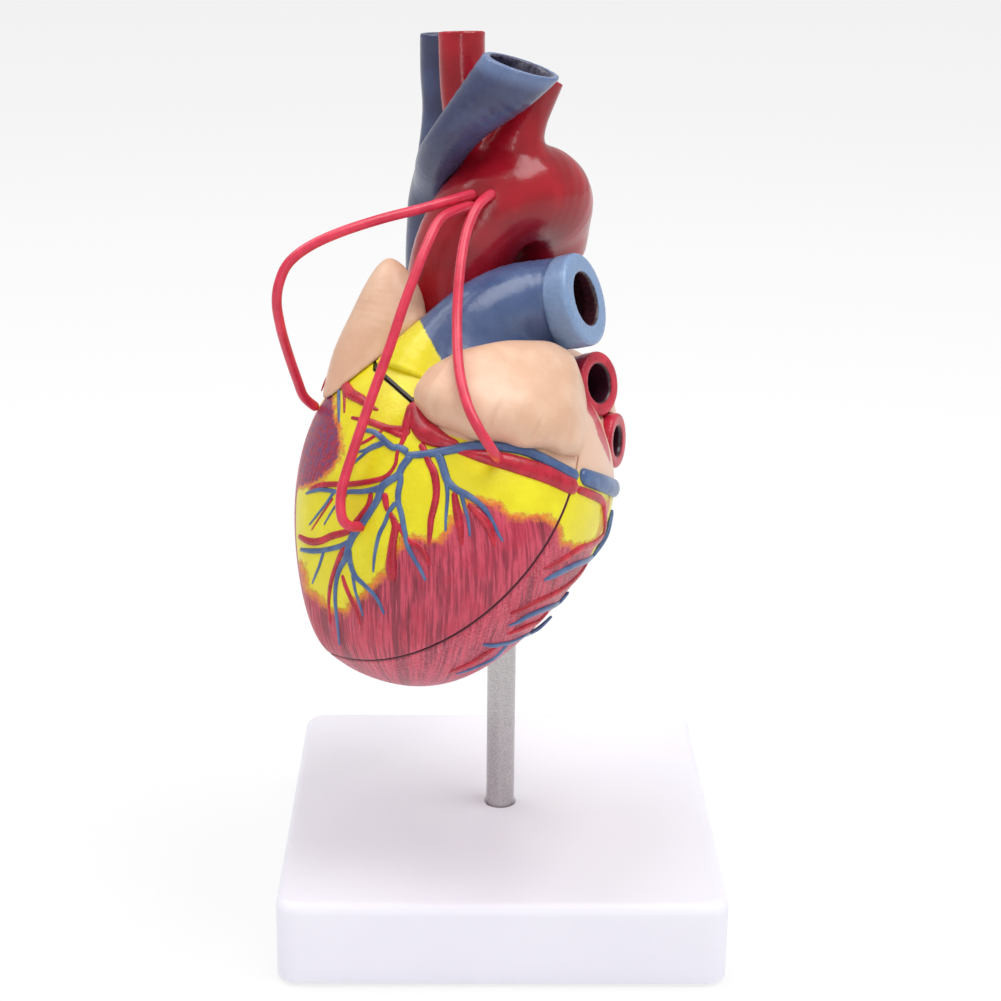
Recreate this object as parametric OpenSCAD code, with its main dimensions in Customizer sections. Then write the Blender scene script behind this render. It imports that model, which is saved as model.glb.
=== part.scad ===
// Human heart anatomy model with three bypass grafts, on a rod and a square base.
// The heart comes apart in two: a back part on the rod and a lift-off front wall.
// Frame: Z up, X to the right and Y away from the viewer, origin on the table
// under the middle of the base.

/* [Base] */
// Width and depth of the square base
base_w = 120; // [110:2:150]
// Height of the base
base_h = 24; // [20:1:30]
// Radius of the base's four upright corners
base_corner = 6; // [4:0.5:9]
// Rounding along the base's top edge
base_round = 3; // [1.5:0.5:3.5]
// Thickness of the base's moulded walls and roof
base_wall = 3; // [2:0.5:4]
// Diameter of the boss under the roof that holds the rod
boss_d = 22; // [18:1:28]
// Thickness of the four ribs that tie the boss to the walls
rib_t = 2.5; // [2:0.5:4]
// Diameter of each rubber foot
foot_d = 12; // [8:1:14]
// Height by which a foot stands proud of the base's rim
foot_proud = 1; // [0.5:0.5:2]

/* [Rod] */
// Diameter of the steel support rod
rod_d = 8; // [7:0.5:9]
// Height of the rod's top, on which the heart rests
rod_top = 104; // [98:1:112]
// Radial clearance of the rod in its two bores
rod_clear = 0.05; // [0.04:0.01:0.09]
// Outer diameter of the sleeve inside the heart
sleeve_d = 13; // [12:0.5:15]
// Length of the sleeve
sleeve_len = 22; // [18:1:24]

/* [Heart] */
// Length of the heart from apex to crown
heart_len = 102; // [96:1:108]
// Turn of the heart's long axis to the right of straight back, in degrees
heart_turn = 46.5; // [45:0.5:48]
// Rise of the long axis above level, in degrees
heart_rise = 43.5; // [42:0.5:45]
// Roll of the seam about the long axis, in degrees
seam_roll = 7.4; // [6:0.2:9]
// Wall thickness of the right side, the front and the back
wall = 6; // [5:0.5:7]
// Wall thickness of the thick left chamber
wall_left = 8; // [7:0.5:9]
// Gap between the front wall and the back part along the seam
seam_gap = 0.25; // [0.2:0.05:0.35]
// Gap between separate castings that are seated in each other
seat_gap = 0.2; // [0.15:0.05:0.3]
// Diameter of the pins that locate the front wall
pin_d = 2.6; // [2:0.2:3]

/* [Vessels] */
// Wall thickness of the great arteries
artery_wall = 3; // [2.5:0.5:3.5]
// Wall thickness of the great veins
vein_wall = 2; // [1.5:0.5:2.5]
// Diameter of the bypass grafts
graft_d = 2.6; // [2.2:0.2:3]

/* [Hidden] */
$fn = 48;
plastic_white = "whitesmoke";
muscle = "#c0405c";
artery_red = "#b01c38";
vein_blue = "#54698f";
atrium_peach = "#e8c8ac";
graft_pink = "#dc4a68";

// ---- frames -------------------------------------------------------------
// The long axis runs from the apex to the crown. "along" points along it, "left"
// points to the left end of the seam, and "out" is the way the front wall lifts off.
apex = [-45, -38.5, 86.5];
nominal_top = 104;
// The places below are drawn for a heart 102 long; k brings them to its set length.
k = heart_len / 102;
nominal_len = heart_len / k;
along = [sin(heart_turn) * cos(heart_rise), cos(heart_turn) * cos(heart_rise), sin(heart_rise)];
level = [cos(heart_turn), -sin(heart_turn), 0];
upward = cross(level, along);
left = cos(seam_roll) * level + sin(seam_roll) * upward;
out = cos(seam_roll) * upward - sin(seam_roll) * level;
// Places are drawn for the nominal length and set on the rod's top, then scaled.
module on_rod() {
  translate([0, 0, rod_top]) scale(k) translate([0, 0, -nominal_top]) children();
}
module heart_frame() {
  multmatrix([
    [left[0], along[0], out[0], apex[0]],
    [left[1], along[1], out[1], apex[1]],
    [left[2], along[2], out[2], apex[2]],
    [0, 0, 0, 1]
  ]) children();
}
// Freeform castings are joined and cut as one closed skin.
module moulded() {
  resize([0, 0, 0]) union() children();
}

// ---- curves -------------------------------------------------------------
function cubic(c, s) =
  c[0] * pow(1 - s, 3) + 3 * c[1] * s * pow(1 - s, 2) + 3 * c[2] * s * s * (1 - s) + c[3] * pow(s, 3);
function between(a, b, t) = a + (b - a) * t;
function unit(v) = v / norm(v);
// Smooth curve through stations
function curve_at(p, i, t) =
  let (n = len(p) - 1, a = p[max(i - 1, 0)], b = p[i], c = p[min(i + 1, n)], d = p[min(i + 2, n)])
  0.5 * (2 * b + (c - a) * t + (2 * a - 5 * b + 4 * c - d) * t * t + (3 * b - a - 3 * c + d) * t * t * t);
function curve(p, steps) = concat(
  [for (i = [0:len(p) - 2], j = [0:steps - 1]) curve_at(p, i, j / steps)], [p[len(p) - 1]]);
// Stations carried on past an end, for lumens that must run right through
function carried_on(a, b, d) = let (v = [b[0] - a[0], b[1] - a[1], b[2] - a[2]])
  [b[0] + d * v[0] / norm(v), b[1] + d * v[1] / norm(v), b[2] + d * v[2] / norm(v), b[3]];
function past_start(p, d) = concat([carried_on(p[1], p[0], d)], p);
function past_ends(p, d) = let (n = len(p) - 1)
  [for (i = [0:n]) i == 0 ? carried_on(p[1], p[0], d) : i == n ? carried_on(p[n - 1], p[n], d) : p[i]];
// Radii changed by g
function grown(p, g) = [for (q = p) [q[0], q[1], q[2], q[3] + g]];

// Vessel with round sections through stations [x, y, z, radius]. "keel" is any
// direction that the vessel never runs along; "flat" narrows the sections.
module vessel(stations, keel, sides = 12, steps = 2, flat = 1) {
  p = curve(stations, steps);
  n = len(p);
  xyz = [for (q = p) [q[0], q[1], q[2]]];
  dir = [for (i = [0:n - 1]) unit(xyz[min(i + 1, n - 1)] - xyz[max(i - 1, 0)])];
  points = [for (i = [0:n - 1], j = [0:sides - 1])
    let (a = 360 * (j + 0.5) / sides, u = unit(cross(dir[i], keel)), v = cross(u, dir[i]))
    xyz[i] + p[i][3] * (cos(a) * u + flat * sin(a) * v)];
  skin = [for (i = [0:n - 2], j = [0:sides - 1], h = [0, 1])
    let (a = i * sides + j, b = i * sides + (j + 1) % sides)
    h == 0 ? [a, b, b + sides] : [a, b + sides, a + sides]];
  first = [for (j = [sides - 1:-1:0]) j];
  last = [for (j = [0:sides - 1]) (n - 1) * sides + j];
  polyhedron(points, concat(skin, [first, last]), convexity = 8);
}

// Lumen that runs right through a vessel, past both its ends
module lumen(stations, keel, sides = 10) {
  vessel(past_ends(stations, 3), keel, sides, 1);
}

// ---- form of the heart ---------------------------------------------------
// Half widths of the heart at four stations from apex to crown, to the left end of
// the seam, to the front, to the right end of the seam and to the back.
half_left = [54, 50, 51, 36];
half_front = [26, 41, 44, 38];
half_right = [18, 37, 42, 40];
half_back = [56, 20, 44, 62];
function inset(c, d) = [for (x = c) x - d];
// Point at the share s of the length and the angle t round the axis, from the left
// end of the seam over the front; d lifts it off the surface.
function skin(s, t, d = 0) =
  let (round = 2 * sqrt(max(s * (1 - s), 0)), half = nominal_len / 2,
    a = cubic(cos(t) >= 0 ? half_left : half_right, s),
    b = cubic(sin(t) >= 0 ? half_front : half_back, s),
    p = [round * a * cos(t), nominal_len * s, round * b * sin(t)])
  p + d * unit([p[0] / (a * a), (p[1] - half) / (half * half), p[2] / (b * b)]);

module egg(d_left, d, slices, sides) {
  length = nominal_len - 2 * d;
  rings = [for (i = [1:slices - 1]) (1 - cos(180 * i / slices)) / 2];
  points = concat(
    [[0, d, 0], [0, d + length, 0]],
    [for (s = rings, j = [0:sides - 1])
      let (t = 360 * j / sides, round = 2 * sqrt(s * (1 - s)),
        a = cubic(cos(t) >= 0 ? inset(half_left, d_left) : inset(half_right, d), s),
        b = cubic(sin(t) >= 0 ? inset(half_front, d) : inset(half_back, d), s))
      [round * a * cos(t), d + length * s, round * b * sin(t)]]);
  m = slices - 2;
  faces = concat(
    [for (j = [0:sides - 1]) [0, 2 + (j + 1) % sides, 2 + j]],
    [for (j = [0:sides - 1]) [1, 2 + m * sides + j, 2 + m * sides + (j + 1) % sides]],
    [for (i = [0:m - 1], j = [0:sides - 1], h = [0, 1])
      let (a = 2 + i * sides + j, b = 2 + i * sides + (j + 1) % sides)
      h == 0 ? [a, b, b + sides] : [a, b + sides, a + sides]]);
  polyhedron(points, faces, convexity = 4);
}
outer_slices = 16;
outer_sides = 34;
inner_slices = 9;
inner_sides = 18;
module whole_form() { egg(0, 0, outer_slices, outer_sides); }
module hollow_form() { egg(wall_left, wall, inner_slices, inner_sides); }
// Bound of what stands inside the heart, clear of its wall
module inside_form() { egg(wall_left + 0.3, wall + 0.3, inner_slices, inner_sides); }
// What sits on the heart's outside starts this far out
module outside_form() { egg(-seat_gap, -seat_gap, outer_slices, outer_sides); }

// Outline, seen along "out", of the crown that stays with the back part: the conus,
// the great vessels' roots and the roof of the right atrium.
crown_outline = [[0.5, 64.5], [19, 59], [23, 72], [23, 125], [-75, 125], [-75, 79], [-16, 79]];
// All that lifts off with the front wall, kept this gap away from the back part
module front_side(gap) {
  difference() {
    translate([-90, -20, gap]) cube([180, 150, 120]);
    translate([0, 0, -150]) linear_extrude(300) {
      polygon(crown_outline);
      if (gap > 0) crown_border(gap);
    }
  }
}
module crown_border(g) {
  n = len(crown_outline);
  for (i = [0:n - 1]) {
    a = crown_outline[i];
    b = crown_outline[(i + 1) % n];
    translate(a) rotate(atan2(b[1] - a[1], b[0] - a[0])) translate([0, -g]) square([norm(b - a), 2 * g]);
    translate(a) circle(g, $fn = 16);
  }
}

// ---- places inside the heart (left, along, out) ---------------------------
plate_low = 62;
plate_high = 66;
tricuspid_at = [-19, -4];
tricuspid_r = 10.5;
tricuspid_depth = 15;
mitral_at = [21, -10];
mitral_r = 10;
mitral_depth = 14;
aortic_at = [8, 9];
aortic_r = 7.5;
conus_at = [6, 25];
conus_r = 5.8;

// ---- great vessels (x, y, z, radius) --------------------------------------
aorta_path = [
  [-10.6, -15.2, 139.2, 9.5], [-12, -1, 151, 11.5], [-13, 9.5, 163.5, 13], [-12.6, 13, 176, 13.6],
  [-9, 13.5, 187.3, 13.6], [-3, 14, 194.8, 13.5], [4.5, 17.5, 197.3, 13.6], [9.8, 24.5, 194.8, 14],
  [10.8, 31.5, 188, 13.2], [10.5, 36.5, 180.3, 12.5]
];
trunk_path = [[-5, 17.5, 198.5, 7], [-9.5, 23, 212.5, 6.4], [-11.6, 27, 225.5, 6.2], [-11.9, 29, 239, 6.4]];
carotid_path = [
  [-0.5, 15.5, 198, 9.5], [2, 17, 209, 8], [4.4, 18, 216, 6.4], [7.6, 19, 222, 5.3], [10.6, 19.5, 228.5, 4.9]
];
subclavian_path = [[6, 25, 198, 6], [6, 29, 211, 4], [6, 31.5, 220, 3.6], [6.5, 32.5, 228, 3.8]];
trunk_root = [
  [-23.3, -21.7, 147.8, 7.4], [-21.6, -19.6, 157, 8.8], [-16, -16, 163, 9.6],
  [-8, -10.5, 169.3, 9.6], [1.6, -3.4, 172.2, 10.2], [12.4, -0.4, 171.9, 11.6], [17.3, -2.2, 172.5, 12],
  [21.4, -4, 174, 12.1]
];
right_branch = [
  [9, -1, 171.5, 8], [11, 11, 171, 8], [8, 23.5, 168.5, 7.6], [-1, 35.5, 167.5, 7.2], [-9.5, 48, 165.5, 7]
];
cava_path = [
  [-12, 32, 139, 8.5], [-15, 34, 152, 8.5], [-18.6, 34.5, 167.5, 8.6], [-18.5, 34.5, 186.5, 8.5],
  [-16.2, 34.5, 203.5, 8], [-16.2, 38, 216.5, 6.6], [-17.2, 41, 227.5, 6.2], [-17.2, 41.5, 237, 6.2]
];
left_arm_vein = [
  [-18, 33.5, 191.5, 7.5], [-18, 27, 199.5, 6.8], [-17.7, 18.5, 206.3, 6.2], [-14.8, 11.5, 212.5, 6],
  [-9.2, 7.5, 220, 6.7], [-1, 5.5, 228.5, 8.8], [5, 5, 235, 9.6], [10, 5, 240.5, 9.6]
];
// Where the left arm's vein is cut off
arm_vein_cut = [5.2, 5, 232.9];
arm_cut_half = 20;
lower_cava = [[-11, 31, 124, 8.5], [-11, 34, 115, 8], [-11, 36, 107, 8.4]];
left_veins = [
  [[14, 15, 141.5, 7.6], [21.6, 5.6, 147.3, 8.2], [26.2, 2.2, 148.7, 9.6]],
  [[18, 17, 131, 6.8], [26.4, 6, 131.8, 7.2], [31.7, 4, 132.2, 8.2]]
];
right_veins = [
  [[12, 24, 139, 6.5], [12, 32, 140.5, 6.5], [12, 39, 142, 7.2]],
  [[13, 24, 125, 6.5], [13, 33, 124, 6.5], [13, 40, 123, 7.2]]
];
level_keel = [0.3, -1, 0.2];
up_keel = [0.1, 0.2, 1];
arm_keel = [0.7, 0.3, -0.6];

left_atrium_at = [14, 14.5, 134];
left_atrium_r = [17.5, 18, 21.5];
right_atrium_at = [-11, 32, 131];
right_atrium_r = [16, 16, 17];
atrium_wall = 4;
module atrium(at, r, d) {
  translate(at) scale([r[0] - d, r[1] - d, r[2] - d]) sphere(1, $fn = 18);
}

// ---- base -----------------------------------------------------------------
module rounded_square(w, r) {
  for (x = [-1, 1], y = [-1, 1]) translate([x * (w / 2 - r), y * (w / 2 - r)]) circle(r);
  square([w - 2 * r, w], center = true);
  square([w, w - 2 * r], center = true);
}
block_h = base_h - foot_proud;
module edge_round() {
  intersection() {
    circle(base_round);
    square(base_round);
  }
}
module base_block() {
  linear_extrude(block_h - base_round) rounded_square(base_w, base_corner);
  linear_extrude(block_h) rounded_square(base_w - 2 * base_round, base_corner - base_round);
  translate([0, 0, block_h - base_round]) for (a = [0:90:270]) rotate(a) {
    translate([base_w / 2 - base_round, 0, 0]) rotate([90, 0, 0]) {
      linear_extrude(base_w - 2 * base_corner, center = true) edge_round();
    }
    translate([base_w / 2 - base_corner, base_w / 2 - base_corner, 0]) rotate_extrude() {
      translate([base_corner - base_round, 0]) edge_round();
    }
  }
}
foot_at = base_w / 2 - base_wall - foot_d / 2 - 2;
foot_pad_h = 3;
rod_foot = 4;
// Broken edge at the mouth of the rod's bore
bore_break = 0.6;
module plinth() {
  color(plastic_white) translate([0, 0, foot_proud]) difference() {
    base_block();
    difference() {
      translate([0, 0, -1]) linear_extrude(block_h - base_wall + 1) {
        rounded_square(base_w - 2 * base_wall, base_corner - base_wall / 2);
      }
      translate([0, 0, -2]) cylinder(d = boss_d, h = base_h);
      for (a = [0, 90]) rotate(a) translate([-base_w / 2, -rib_t / 2, 2]) cube([base_w, rib_t, base_h]);
      for (x = [-1, 1], y = [-1, 1]) {
        translate([x * foot_at, y * foot_at, foot_pad_h - foot_proud]) cylinder(d = foot_d + 4, h = base_h);
      }
    }
    translate([0, 0, rod_foot - foot_proud]) cylinder(d = rod_d + 2 * rod_clear, h = base_h);
    translate([0, 0, block_h - bore_break]) {
      cylinder(d1 = rod_d + 2 * rod_clear, d2 = rod_d + 4 * bore_break, h = 2 * bore_break);
    }
  }
}
module plinth_feet() {
  color("dimgray") for (x = [-1, 1], y = [-1, 1]) {
    translate([x * foot_at, y * foot_at, 0]) cylinder(d = foot_d, h = foot_pad_h);
  }
}
chamfer = 0.8;
module support_rod() {
  color("silver") translate([0, 0, rod_foot]) {
    h = rod_top - rod_foot;
    cylinder(d1 = rod_d - 2 * chamfer, d2 = rod_d, h = chamfer);
    translate([0, 0, chamfer]) cylinder(d = rod_d, h = h - 2 * chamfer);
    translate([0, 0, h - chamfer]) cylinder(d1 = rod_d, d2 = rod_d - 2 * chamfer, h = chamfer);
  }
}

// ---- back part ------------------------------------------------------------
sleeve_cap = 2;
module rod_sleeve() {
  color("silver") difference() {
    translate([0, 0, rod_top + sleeve_cap - sleeve_len]) cylinder(d = sleeve_d, h = sleeve_len);
    translate([0, 0, rod_top - sleeve_len]) cylinder(d = rod_d + 2 * rod_clear, h = sleeve_len);
  }
}
module sleeve_seat() {
  translate([0, 0, rod_top + sleeve_cap + 0.1 - sleeve_len - 20]) {
    cylinder(d = sleeve_d + 0.1, h = sleeve_len + 20);
  }
}
module back_wall() {
  color(muscle) difference() {
    on_rod() moulded() difference() {
      union() {
        heart_frame() difference() {
          whole_form();
          front_side(0);
        }
        difference() {
          atrium(left_atrium_at, left_atrium_r, 0);
          heart_frame() front_side(0);
        }
        difference() {
          atrium(right_atrium_at, right_atrium_r, 0);
          heart_frame() front_side(0);
        }
      }
      heart_frame() hollow_form();
      atrium(left_atrium_at, left_atrium_r, atrium_wall);
      atrium(right_atrium_at, right_atrium_r, atrium_wall);
      vessel(past_start(grown(aorta_path, seat_gap), 4), level_keel, 16);
      vessel(past_start(grown(trunk_root, seat_gap), 4), level_keel, 16);
      vessel(grown(cava_path, seat_gap), level_keel);
      vessel(grown(lower_cava, seat_gap), level_keel);
      for (p = concat(left_veins, right_veins)) vessel(grown(p, seat_gap), up_keel);
    }
    sleeve_seat();
    on_rod() heart_frame() pins(0.05);
  }
}
// Pins along the seam (left, along), sunk in the back part
pin_places = [[43, 34], [44.5, 62], [-32.5, 42]];
pin_low = -6;
pin_high = 4;
module pins(g) {
  for (p = pin_places) translate([p[0], p[1], pin_low - g]) {
    cylinder(d = pin_d + 2 * g, h = pin_high - pin_low + 2 * g);
  }
}
module locating_pins() {
  color("silver") on_rod() heart_frame() pins(0);
}

septum_r = 42;
septum_t = 7;
// Where the septum's middle crosses the heart, and the height of its bow's centre
septum_at = [-4, -6];
// Half the side of the blocks that cut pieces square to the heart's length
block_half = 60;
septum_lean = 10;
module septum() {
  color(muscle) difference() {
    on_rod() moulded() heart_frame() difference() {
      intersection() {
        translate([0, plate_high, 0]) rotate([0, 0, -septum_lean]) {
          translate([septum_at[0] + septum_r, 0, septum_at[1]]) rotate([90, 0, 0]) difference() {
            cylinder(r = septum_r + septum_t / 2, h = 160, center = true, $fn = 64);
            cylinder(r = septum_r - septum_t / 2, h = 170, center = true, $fn = 64);
          }
        }
        inside_form();
        translate([septum_at[0] - septum_r, 0, -block_half]) {
          cube([2 * septum_r, plate_low - seat_gap, 2 * block_half]);
        }
      }
    }
    sleeve_seat();
  }
}
module valve_plate() {
  color(atrium_peach) on_rod() heart_frame() difference() {
    moulded() intersection() {
      inside_form();
      translate([-block_half, plate_low, -block_half]) {
        cube([2 * block_half, plate_high - plate_low, 2 * block_half]);
      }
    }
    valve_hole(tricuspid_at, tricuspid_r);
    valve_hole(mitral_at, mitral_r);
    valve_hole(aortic_at, aortic_r);
    valve_hole(conus_at, conus_r);
  }
}
module valve_hole(at, r) {
  translate([at[0], plate_high + 1, at[1]]) rotate([90, 0, 0]) {
    cylinder(r = r, h = plate_high - plate_low + 2);
  }
}

// Leaflets hanging from a ring, parted by slots; depth is how far they hang.
leaf_t = 0.8;
leaf_taper = 0.62;
module hanging_valve(at, r, depth, leaves) {
  translate([at[0], plate_high, at[1]]) rotate([90, 0, 0]) difference() {
    rotate_extrude() {
      translate([r - 2, 0]) square([2 - seat_gap / 2, plate_high - plate_low]);
      polygon([[r - 2, 2], [r - 1, 2], [r * leaf_taper, depth], [r * leaf_taper - leaf_t, depth]]);
    }
    for (i = [0:leaves - 1]) rotate(i * 360 / leaves) {
      translate([0, -0.6, plate_high - plate_low + 1]) cube([r + 1, 1.2, depth]);
    }
  }
}
// Three pockets in a ring, open on the side that the blood flows to. Their places and
// radii are shares of the ring's radius.
pocket_at = 0.48;
pocket_r = 0.4;
module pocket_valve(at, r) {
  h = plate_high - plate_low;
  translate([at[0], plate_low, at[1]]) rotate([-90, 0, 0]) {
    difference() {
      cylinder(r = r - seat_gap / 2, h = h);
      translate([0, 0, -1]) cylinder(r = r - 1.2, h = h + 2);
    }
    for (i = [0:2]) rotate(i * 120) translate([r * pocket_at, 0, 0]) difference() {
      cylinder(r = r * pocket_r, h = h - 0.5);
      translate([0, 0, leaf_t]) cylinder(r = r * pocket_r - leaf_t, h = h);
    }
  }
}
module tricuspid_valve() {
  color("#e2a9a0") on_rod() heart_frame() hanging_valve(tricuspid_at, tricuspid_r, tricuspid_depth, 3);
}
module mitral_valve() {
  color("#e2a9a0") on_rod() heart_frame() hanging_valve(mitral_at, mitral_r, mitral_depth, 2);
}
module aortic_valve() {
  color("#e2a9a0") on_rod() heart_frame() pocket_valve(aortic_at, aortic_r);
}
module pulmonary_valve() {
  color("#e2a9a0") on_rod() heart_frame() pocket_valve(conus_at, conus_r);
}

// Papillary muscles: foot on the wall, tip, and the valve that their cords run to
muscles = [
  [[30, 27, -16], [26, 38, -11], mitral_at, mitral_r, mitral_depth],
  [[14, 24, -20], [19, 36, -13], mitral_at, mitral_r, mitral_depth],
  [[-22, 32, -14], [-19, 42, -7], tricuspid_at, tricuspid_r, tricuspid_depth],
  [[-24, 38, 4], [-20, 42, 1], tricuspid_at, tricuspid_r, tricuspid_depth]
];
muscle_foot_r = 5;
muscle_tip_r = 2.4;
module rod_between(a, b, r1, r2, sides) {
  v = b - a;
  translate(a) rotate([0, acos(v[2] / norm(v)), atan2(v[1], v[0])]) {
    cylinder(r1 = r1, r2 = r2, h = norm(v), $fn = sides);
  }
}
module papillary_muscles() {
  color(muscle) on_rod() moulded() heart_frame() intersection() {
    for (m = muscles) union() {
      rod_between(m[0] * 1.25 - m[1] * 0.25, m[1], muscle_foot_r, muscle_tip_r, 8);
      translate(m[1]) sphere(muscle_tip_r, $fn = 8);
    }
    inside_form();
  }
}
cord_r = 0.5;
module tendinous_cords() {
  color("wheat") on_rod() heart_frame() for (m = muscles, a = [-40, 0, 40]) {
    tip = m[1] + [0, muscle_tip_r + seat_gap, 0];
    toward = atan2(m[1][2] - m[2][1], m[1][0] - m[2][0]) + a;
    ring = m[3] * leaf_taper - leaf_t / 2;
    low = plate_high - m[4] - cord_r - seat_gap;
    edge = [m[2][0] + ring * cos(toward), low, m[2][1] + ring * sin(toward)];
    rod_between(tip, edge, cord_r, cord_r, 16);
  }
}

// Cuts a vessel's foot level with the top of the valve plate
module below_plate() {
  heart_frame() translate([-block_half, plate_high - block_half, -block_half]) {
    cube([2 * block_half, block_half, 2 * block_half]);
  }
}
module aorta() {
  color(artery_red) on_rod() moulded() difference() {
    union() {
      vessel(aorta_path, level_keel, 16);
      vessel(trunk_path, level_keel, 12);
      vessel(carotid_path, level_keel, 10);
      vessel(subclavian_path, level_keel, 10);
    }
    lumen(grown(aorta_path, -artery_wall), level_keel, 12);
    lumen(grown(trunk_path, -2), level_keel);
    lumen(grown(carotid_path, -1.6), level_keel, 8);
    lumen(grown(subclavian_path, -1.6), level_keel, 8);
    below_plate();
  }
}
module pulmonary_trunk() {
  color(vein_blue) on_rod() moulded() difference() {
    union() {
      vessel(trunk_root, level_keel, 16);
      vessel(right_branch, up_keel);
    }
    lumen(narrowed(trunk_root), level_keel);
    lumen(grown(right_branch, -2.5), up_keel, 8);
    vessel(past_start(grown(aorta_path, seat_gap), 3), level_keel, 16);
    below_plate();
  }
}
// The trunk's lumen: a thick rim at the cut end of the left branch
function narrowed(p) = [for (i = [0:len(p) - 1])
  [p[i][0], p[i][1], p[i][2], p[i][3] - (i > len(p) - 3 ? 5 : artery_wall)]];
module superior_vena_cava() {
  color(vein_blue) on_rod() moulded() difference() {
    union() {
      vessel(cava_path, level_keel);
      vessel(left_arm_vein, arm_keel, 14);
    }
    lumen(grown(cava_path, -vein_wall), level_keel);
    vessel(grown(left_arm_vein, -vein_wall), arm_keel, 10, 1);
    vessel(grown(aorta_path, seat_gap), level_keel, 16);
    vessel(grown(trunk_path, seat_gap), level_keel);
    vessel(grown(right_branch, seat_gap), up_keel);
    translate(arm_vein_cut) rotate([3, 17, 0]) {
      translate([-arm_cut_half, -arm_cut_half, 0]) cube(2 * arm_cut_half);
    }
  }
}
module inferior_vena_cava() {
  color(vein_blue) on_rod() moulded() difference() {
    vessel(lower_cava, level_keel);
    lumen(grown(lower_cava, -vein_wall), level_keel);
  }
}
module lung_veins(paths, bore) {
  color(artery_red) on_rod() moulded() for (p = paths) difference() {
    vessel(p, up_keel);
    lumen(grown(p, bore), up_keel);
  }
}
module left_pulmonary_veins() { lung_veins(left_veins, -3.6); }
module right_pulmonary_veins() { lung_veins(right_veins, -2); }

// ---- front part -----------------------------------------------------------
// Coronary vessels in relief on the front: [share of the length, angle, radius]
relief_paths = [
  [
    [0.645, 2, 2.4], [0.6, 18, 2.4], [0.54, 36, 2.2], [0.505, 48, 2.2], [0.45, 58, 2], [0.36, 63, 1.9],
    [0.23, 70, 1.7], [0.1, 70, 1.2]
  ],
  [[0.675, 5, 2], [0.57, 37, 2], [0.525, 55, 2.2], [0.56, 68, 1.8], [0.6, 76, 1.8]],
  [[0.68, 90, 1.7], [0.66, 104, 1.8], [0.63, 122, 1.8], [0.55, 142, 1.6]],
  [[0.5, 46, 1.4], [0.42, 43, 1.3], [0.33, 47, 1.1], [0.25, 52, 0.9]],
  [[0.48, 36, 1.4], [0.42, 30, 1.2], [0.35, 28, 1]],
  [[0.4, 60, 1.2], [0.31, 54, 1.1], [0.22, 50, 0.9]],
  [[0.37, 64, 1.3], [0.37, 84, 1.2], [0.33, 108, 1]],
  [[0.22, 72, 1.3], [0.22, 92, 1.2], [0.17, 112, 1]],
  [[0.59, 82, 1.3], [0.5, 92, 1.2], [0.42, 96, 1]]
];
relief_keel = [0.2, 0.25, 1];
module relief(paths, g = 0) {
  for (p = paths) {
    vessel([for (q = p) let (w = skin(q[0], q[1])) [w[0], w[1], w[2], q[2] + g]], relief_keel, 6);
  }
}
module front_wall() {
  color(muscle) on_rod() heart_frame() difference() {
    moulded() {
      intersection() {
        difference() {
          whole_form();
          hollow_form();
        }
        front_side(seam_gap);
      }
      intersection() {
        relief(relief_paths);
        front_side(seam_gap);
        translate([-90, 0, 4]) cube([180, 99, 120]);
      }
    }
    pins(0.1);
  }
}
// Left auricle: a lobe lying on the front wall under the trunk. Its lower edge runs
// in scallops over the groove vessels; heights are above the wall.
lobe_low = [0.69, 0.645, 0.505, 0.565];
lobe_high = [0.93, 0.935, 0.935, 0.67];
lobe_angles = [3, 64];
lobe_height = 8;
lobe_cols = 18;
lobe_rows = 6;
// The lobe is drawn this deep into the wall, and the wall is then cut from it.
lobe_sunk = 2;
function lobe_share(u, v) =
  between(cubic(lobe_low, u) + 0.006 * cos(360 * 4 * u), cubic(lobe_high, u), v);
function lobe_lift(u, v) =
  0.8 + lobe_height * sqrt(1 - pow(2 * v - 1, 4)) * (0.3 + 0.7 * sin(90 * min(2.2 * u, 1)))
    * (u > 0.9 ? 1 - 4 * (u - 0.9) : 1) * (1 + 0.05 * cos(360 * 4 * u));
function lobe_point(i, j, on_top) = let (u = i / lobe_cols, v = j / lobe_rows)
  skin(lobe_share(u, v), between(lobe_angles[0], lobe_angles[1], u),
    on_top ? seat_gap + lobe_lift(u, v) : -lobe_sunk);
module left_auricle_solid() {
  w = lobe_cols;
  h = lobe_rows;
  n = (w + 1) * (h + 1);
  points = [for (on_top = [false, true], i = [0:w], j = [0:h]) lobe_point(i, j, on_top)];
  function at(i, j) = i * (h + 1) + j;
  // Two triangles for each quad, wound one way or the other
  function pair(a, b, c, d, turned) = turned ? [[a, c, b], [a, d, c]] : [[a, b, c], [a, c, d]];
  quads = concat(
    [for (i = [0:w - 1], j = [0:h - 1], f = [0, n])
      pair(f + at(i, j), f + at(i + 1, j), f + at(i + 1, j + 1), f + at(i, j + 1), f == 0)],
    [for (i = [0:w - 1], j = [0, h])
      pair(at(i, j), at(i + 1, j), n + at(i + 1, j), n + at(i, j), j == h)],
    [for (j = [0:h - 1], i = [0, w])
      pair(at(i, j), at(i, j + 1), n + at(i, j + 1), n + at(i, j), i == 0)]);
  polyhedron(points, [for (q = quads, f = q) f], convexity = 4);
}
module left_auricle() {
  color(atrium_peach) on_rod() moulded() heart_frame() difference() {
    left_auricle_solid();
    outside_form();
    relief([relief_paths[0], relief_paths[1]], seat_gap);
  }
}
lobe_path = [
  [-37, -12, 149, 11], [-35, -8.5, 157, 10.8], [-31.5, -5, 165, 10.4], [-30.2, -2.5, 171.5, 8.6],
  [-30.3, -1, 177, 5.6], [-30.6, 0, 180.6, 2.8], [-30.7, 0.2, 182.2, 1]
];
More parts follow.
